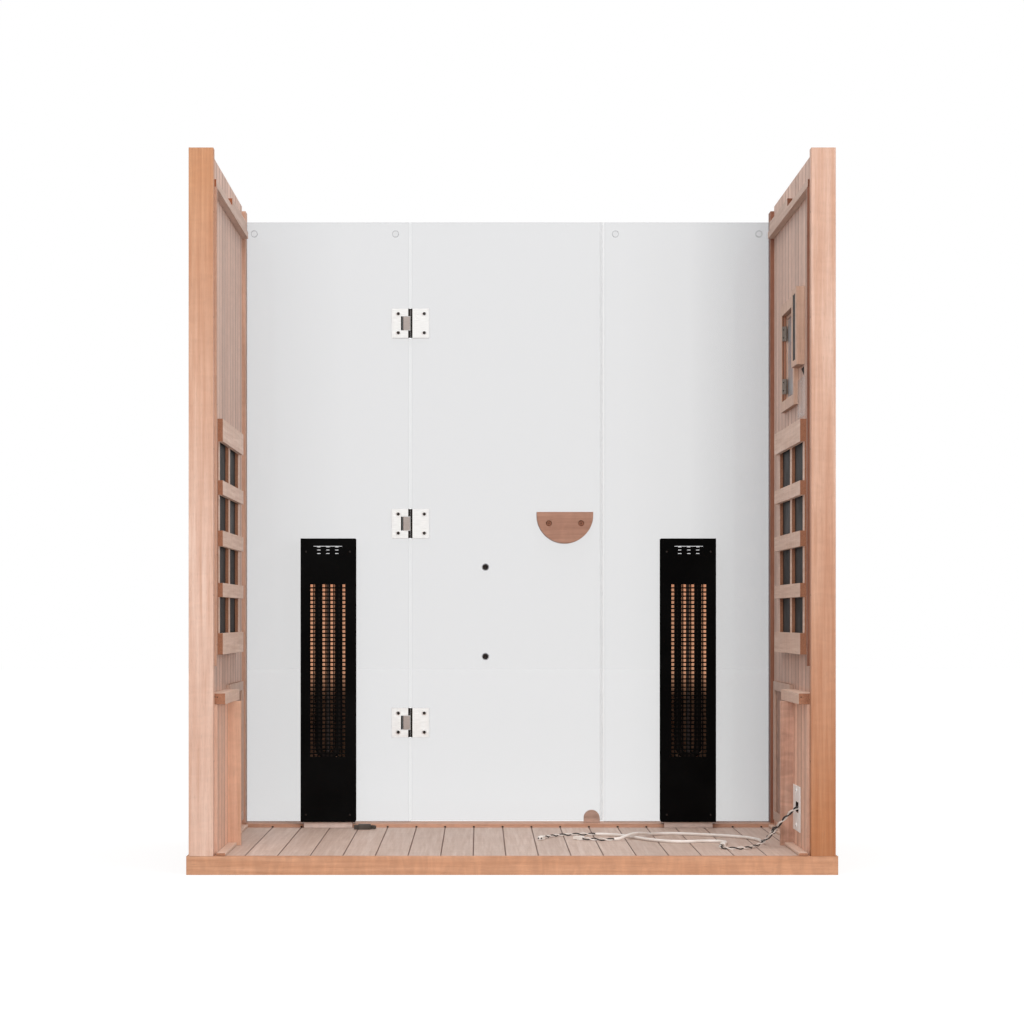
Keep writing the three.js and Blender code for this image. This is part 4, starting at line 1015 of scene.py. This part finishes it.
for index, (low, high) in enumerate(MEDIA_HINGES):
    hinge_finish = [hinge_grey, screw_dark]
    barrel = bmesh.new()
    knuckle = (high - low) / MEDIA_KNUCKLES
    tall = knuckle / 1000
    for step in range(MEDIA_KNUCKLES):
        profile = [(0, 0), (0.0026, 0), (0.003, 0.0006), (0.003, tall - 0.0006), (0.0026, tall), (0, tall)]
        add_turned(barrel, profile, at(*MEDIA_PIN, low + step * knuckle), (0, 0, 1), 16)
    screw_heights = (low + LEAF_SCREW_INSET, high - LEAF_SCREW_INSET)
    add_bar(barrel, at(FRAME_LEAF[0], REVEAL - 1.8, low), at(FRAME_LEAF[1], REVEAL - 0.5, high), 0.0004)
    for height in screw_heights:
        add_socket_screw(barrel, at(797.5, REVEAL - 1.8, height), (0, -1, 0), 0.0026, 0, 1)
    make_piece(f"media_hinge_{index}_frame_leaf", barrel, hinge_finish, "cabin")
    flap = bmesh.new()
    add_bar(flap, at(*DOOR_LEAF[0], low), at(*DOOR_LEAF[1], high), 0.0004)
    for height in screw_heights:
        add_socket_screw(flap, at(805.7, 731, height), (-1, 0, 0), 0.0026, 0, 1)
    make_piece(f"media_hinge_{index}_door_leaf", flap, hinge_finish, "media_flap")

screen = bmesh.new()
add_bar(screen, *SCREEN, 0.0006)
make_piece("control_screen", screen, [screen_dark], "cabin")

# Painted shade: a flat dark triangle on the lining below the control box stands for the shade of a cable
# notch.
notch = bmesh.new()
corners = [notch.verts.new(at(806.1, depth, height)) for depth, height in NOTCH_PAINTED_SHADE]
bmesh.ops.extrude_face_region(notch, geom=[notch.faces.new(corners)])
bmesh.ops.translate(notch, verts=[v for v in notch.verts if v not in corners], vec=(0.00035, 0, 0))
make_piece("cable_notch_painted_shade", notch, [hole_dark], "cabin")

plate = bmesh.new()
add_bar(plate, *CLEAR_PLATE, 0.0008)
for height in PLATE_SCREWS:
    add_socket_screw(plate, at(803.2, 340, height), (-1, 0, 0), 0.0034, 1, 2)
make_piece("clear_plate", plate, [acrylic, satin_steel, screw_dark], "cabin")

(start, end), (low, high) = COVER["depths"], COVER["heights"]
(near, far), (under, over) = COVER["slot_depths"], COVER["slot_heights"]
cover = bmesh.new()
for depths, heights in (
    ((start, near), (low, high)), ((far, end), (low, high)),
    ((near - 1, far + 1), (low, under)), ((near - 1, far + 1), (over, high)),
):
    add_bar(cover, at(COVER_FACE, depths[0], heights[0]), at(LINING_FACE, depths[1], heights[1]), 0.001)
for height in (low + COVER_SCREW_INSET, high - COVER_SCREW_INSET):
    centre = at(COVER_FACE, COVER_MIDDLE, height)
    add_turned(cover, COVER_BOSS, centre, (-1, 0, 0), 24)
    add_socket_screw(cover, centre - Vector((COVER_BOSS[-1][1], 0, 0)), (-1, 0, 0), 0.0034, 0, 1)
pocket = bmesh.new()
add_bar(pocket, at(805, near + 0.4, under + 0.4), at(806.3, far - 0.4, over - 0.4), 0.0003)
add_bar(pocket, at(785.2, far - 0.9, under + 0.4), at(806.3, far - 0.3, over - 0.4), 0.0002)
make_piece("cable_pocket", pocket, [seam_dark], "cabin")
cover_piece = make_piece("cable_cover_plate", cover, [cover_white, screw_dark], "cabin")
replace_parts(cover_piece, "cable_cover")


# A dark plug lies loose on the floor beside the left tower, waiting for its lead. It is moulded in
# one piece in grey plastic, with a stepped nose at one end and grip ribs at the other.
plug_grey = moulded("plug_grey", colour(84, 78, 73), colour(60, 55, 51), 0.6)
low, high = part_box("tower_plug")
plug = bmesh.new()
add_bar(plug, low + Vector((0.012, 0, 0)), high - Vector((0.016, 0, 0)), 0.003)
nose = Vector((low.x + 0.013, high.y - 0.004, high.z - 0.003))
add_bar(plug, low + Vector((0, 0.004, 0.001)), nose, 0.002)
for step in range(4):
    rib = high.x - 0.015 + step * 0.0038
    start = (rib - 0.0026, low.y + 0.005, low.z + 0.001)
    add_bar(plug, start, (rib, high.y - 0.005, high.z - 0.003), 0.0008)
tail = Vector((high.x - 0.017, low.y + 0.007, low.z + 0.002))
add_bar(plug, tail, high - Vector((0, 0.007, 0.005)), 0.0008)
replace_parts(make_piece("tower_plug_shell", plug, [plug_grey], "cabin"), "tower_plug")


# A pale studio: a white floor, an even white surround and three soft lamps. Seen by the camera,
# in metal or through glass, floor and surround are plain white; the light they give is softer.
STUDIO_REACH = 30
LAMPS = {
    "key_lamp": ((-1.7, -7.4, 3.0), (0, 0, 0.9), 3.0, 140),
    "fill_lamp": ((3.8, -6.2, 1.8), (-0.4, 0, 0.8), 3.0, 172),
    "top_lamp": ((0, -0.6, 4.8), (0, 0.1, 0), 2.6, 95),
}


def seen_directly(tree):
    """One where the camera, a reflection or a view through glass looks at the surface."""
    paths = tree.nodes.new("ShaderNodeLightPath").outputs
    bent = math_node(tree, "MAXIMUM", paths["Is Glossy Ray"], paths["Is Transmission Ray"])
    return math_node(tree, "MAXIMUM", paths["Is Camera Ray"], bent)


floor_mesh = bpy.data.meshes.new("studio_floor")
corners = [(-1, -1), (1, -1), (1, 1), (-1, 1)]
floor_mesh.from_pydata([(STUDIO_REACH * x, STUDIO_REACH * y, 0) for x, y in corners], [], [(0, 1, 2, 3)])
floor_white, floor_tree, floor_shader = new_material("studio_white")
floor_shader.inputs["Roughness"].default_value = 0.9
floor_shader.inputs["Emission Color"].default_value = (1, 1, 1, 1)
seen = seen_directly(floor_tree)
glow = math_node(floor_tree, "MULTIPLY", seen, 0.838)
floor_tree.links.new(mapped(floor_tree, seen, 0, 1, 0.6, 0.18), floor_shader.inputs["Base Color"])
floor_tree.links.new(glow, floor_shader.inputs["Emission Strength"])
floor_mesh.materials.append(floor_white)
floor = bpy.data.objects.new("studio_floor", floor_mesh)
scene.collection.objects.link(floor)

world = bpy.data.worlds.new("studio_surround")
world.use_nodes = True
surround = world.node_tree.nodes["Background"]
surround.inputs["Color"].default_value = (1, 1, 1, 1)
strength = mapped(world.node_tree, seen_directly(world.node_tree), 0, 1, 0.5, 1.0)
world.node_tree.links.new(strength, surround.inputs["Strength"])
scene.world = world

for name, (place, target, size, power) in LAMPS.items():
    lamp = bpy.data.lights.new(name, "AREA")
    lamp.size = size
    lamp.energy = power
    lamp_object = bpy.data.objects.new(name, lamp)
    lamp_object.location = place
    lamp_object.rotation_euler = (Vector(target) - Vector(place)).to_track_quat("-Z", "Y").to_euler()
    lamp_object.visible_glossy = False
    scene.collection.objects.link(lamp_object)
scene.view_settings.view_transform = "Standard"
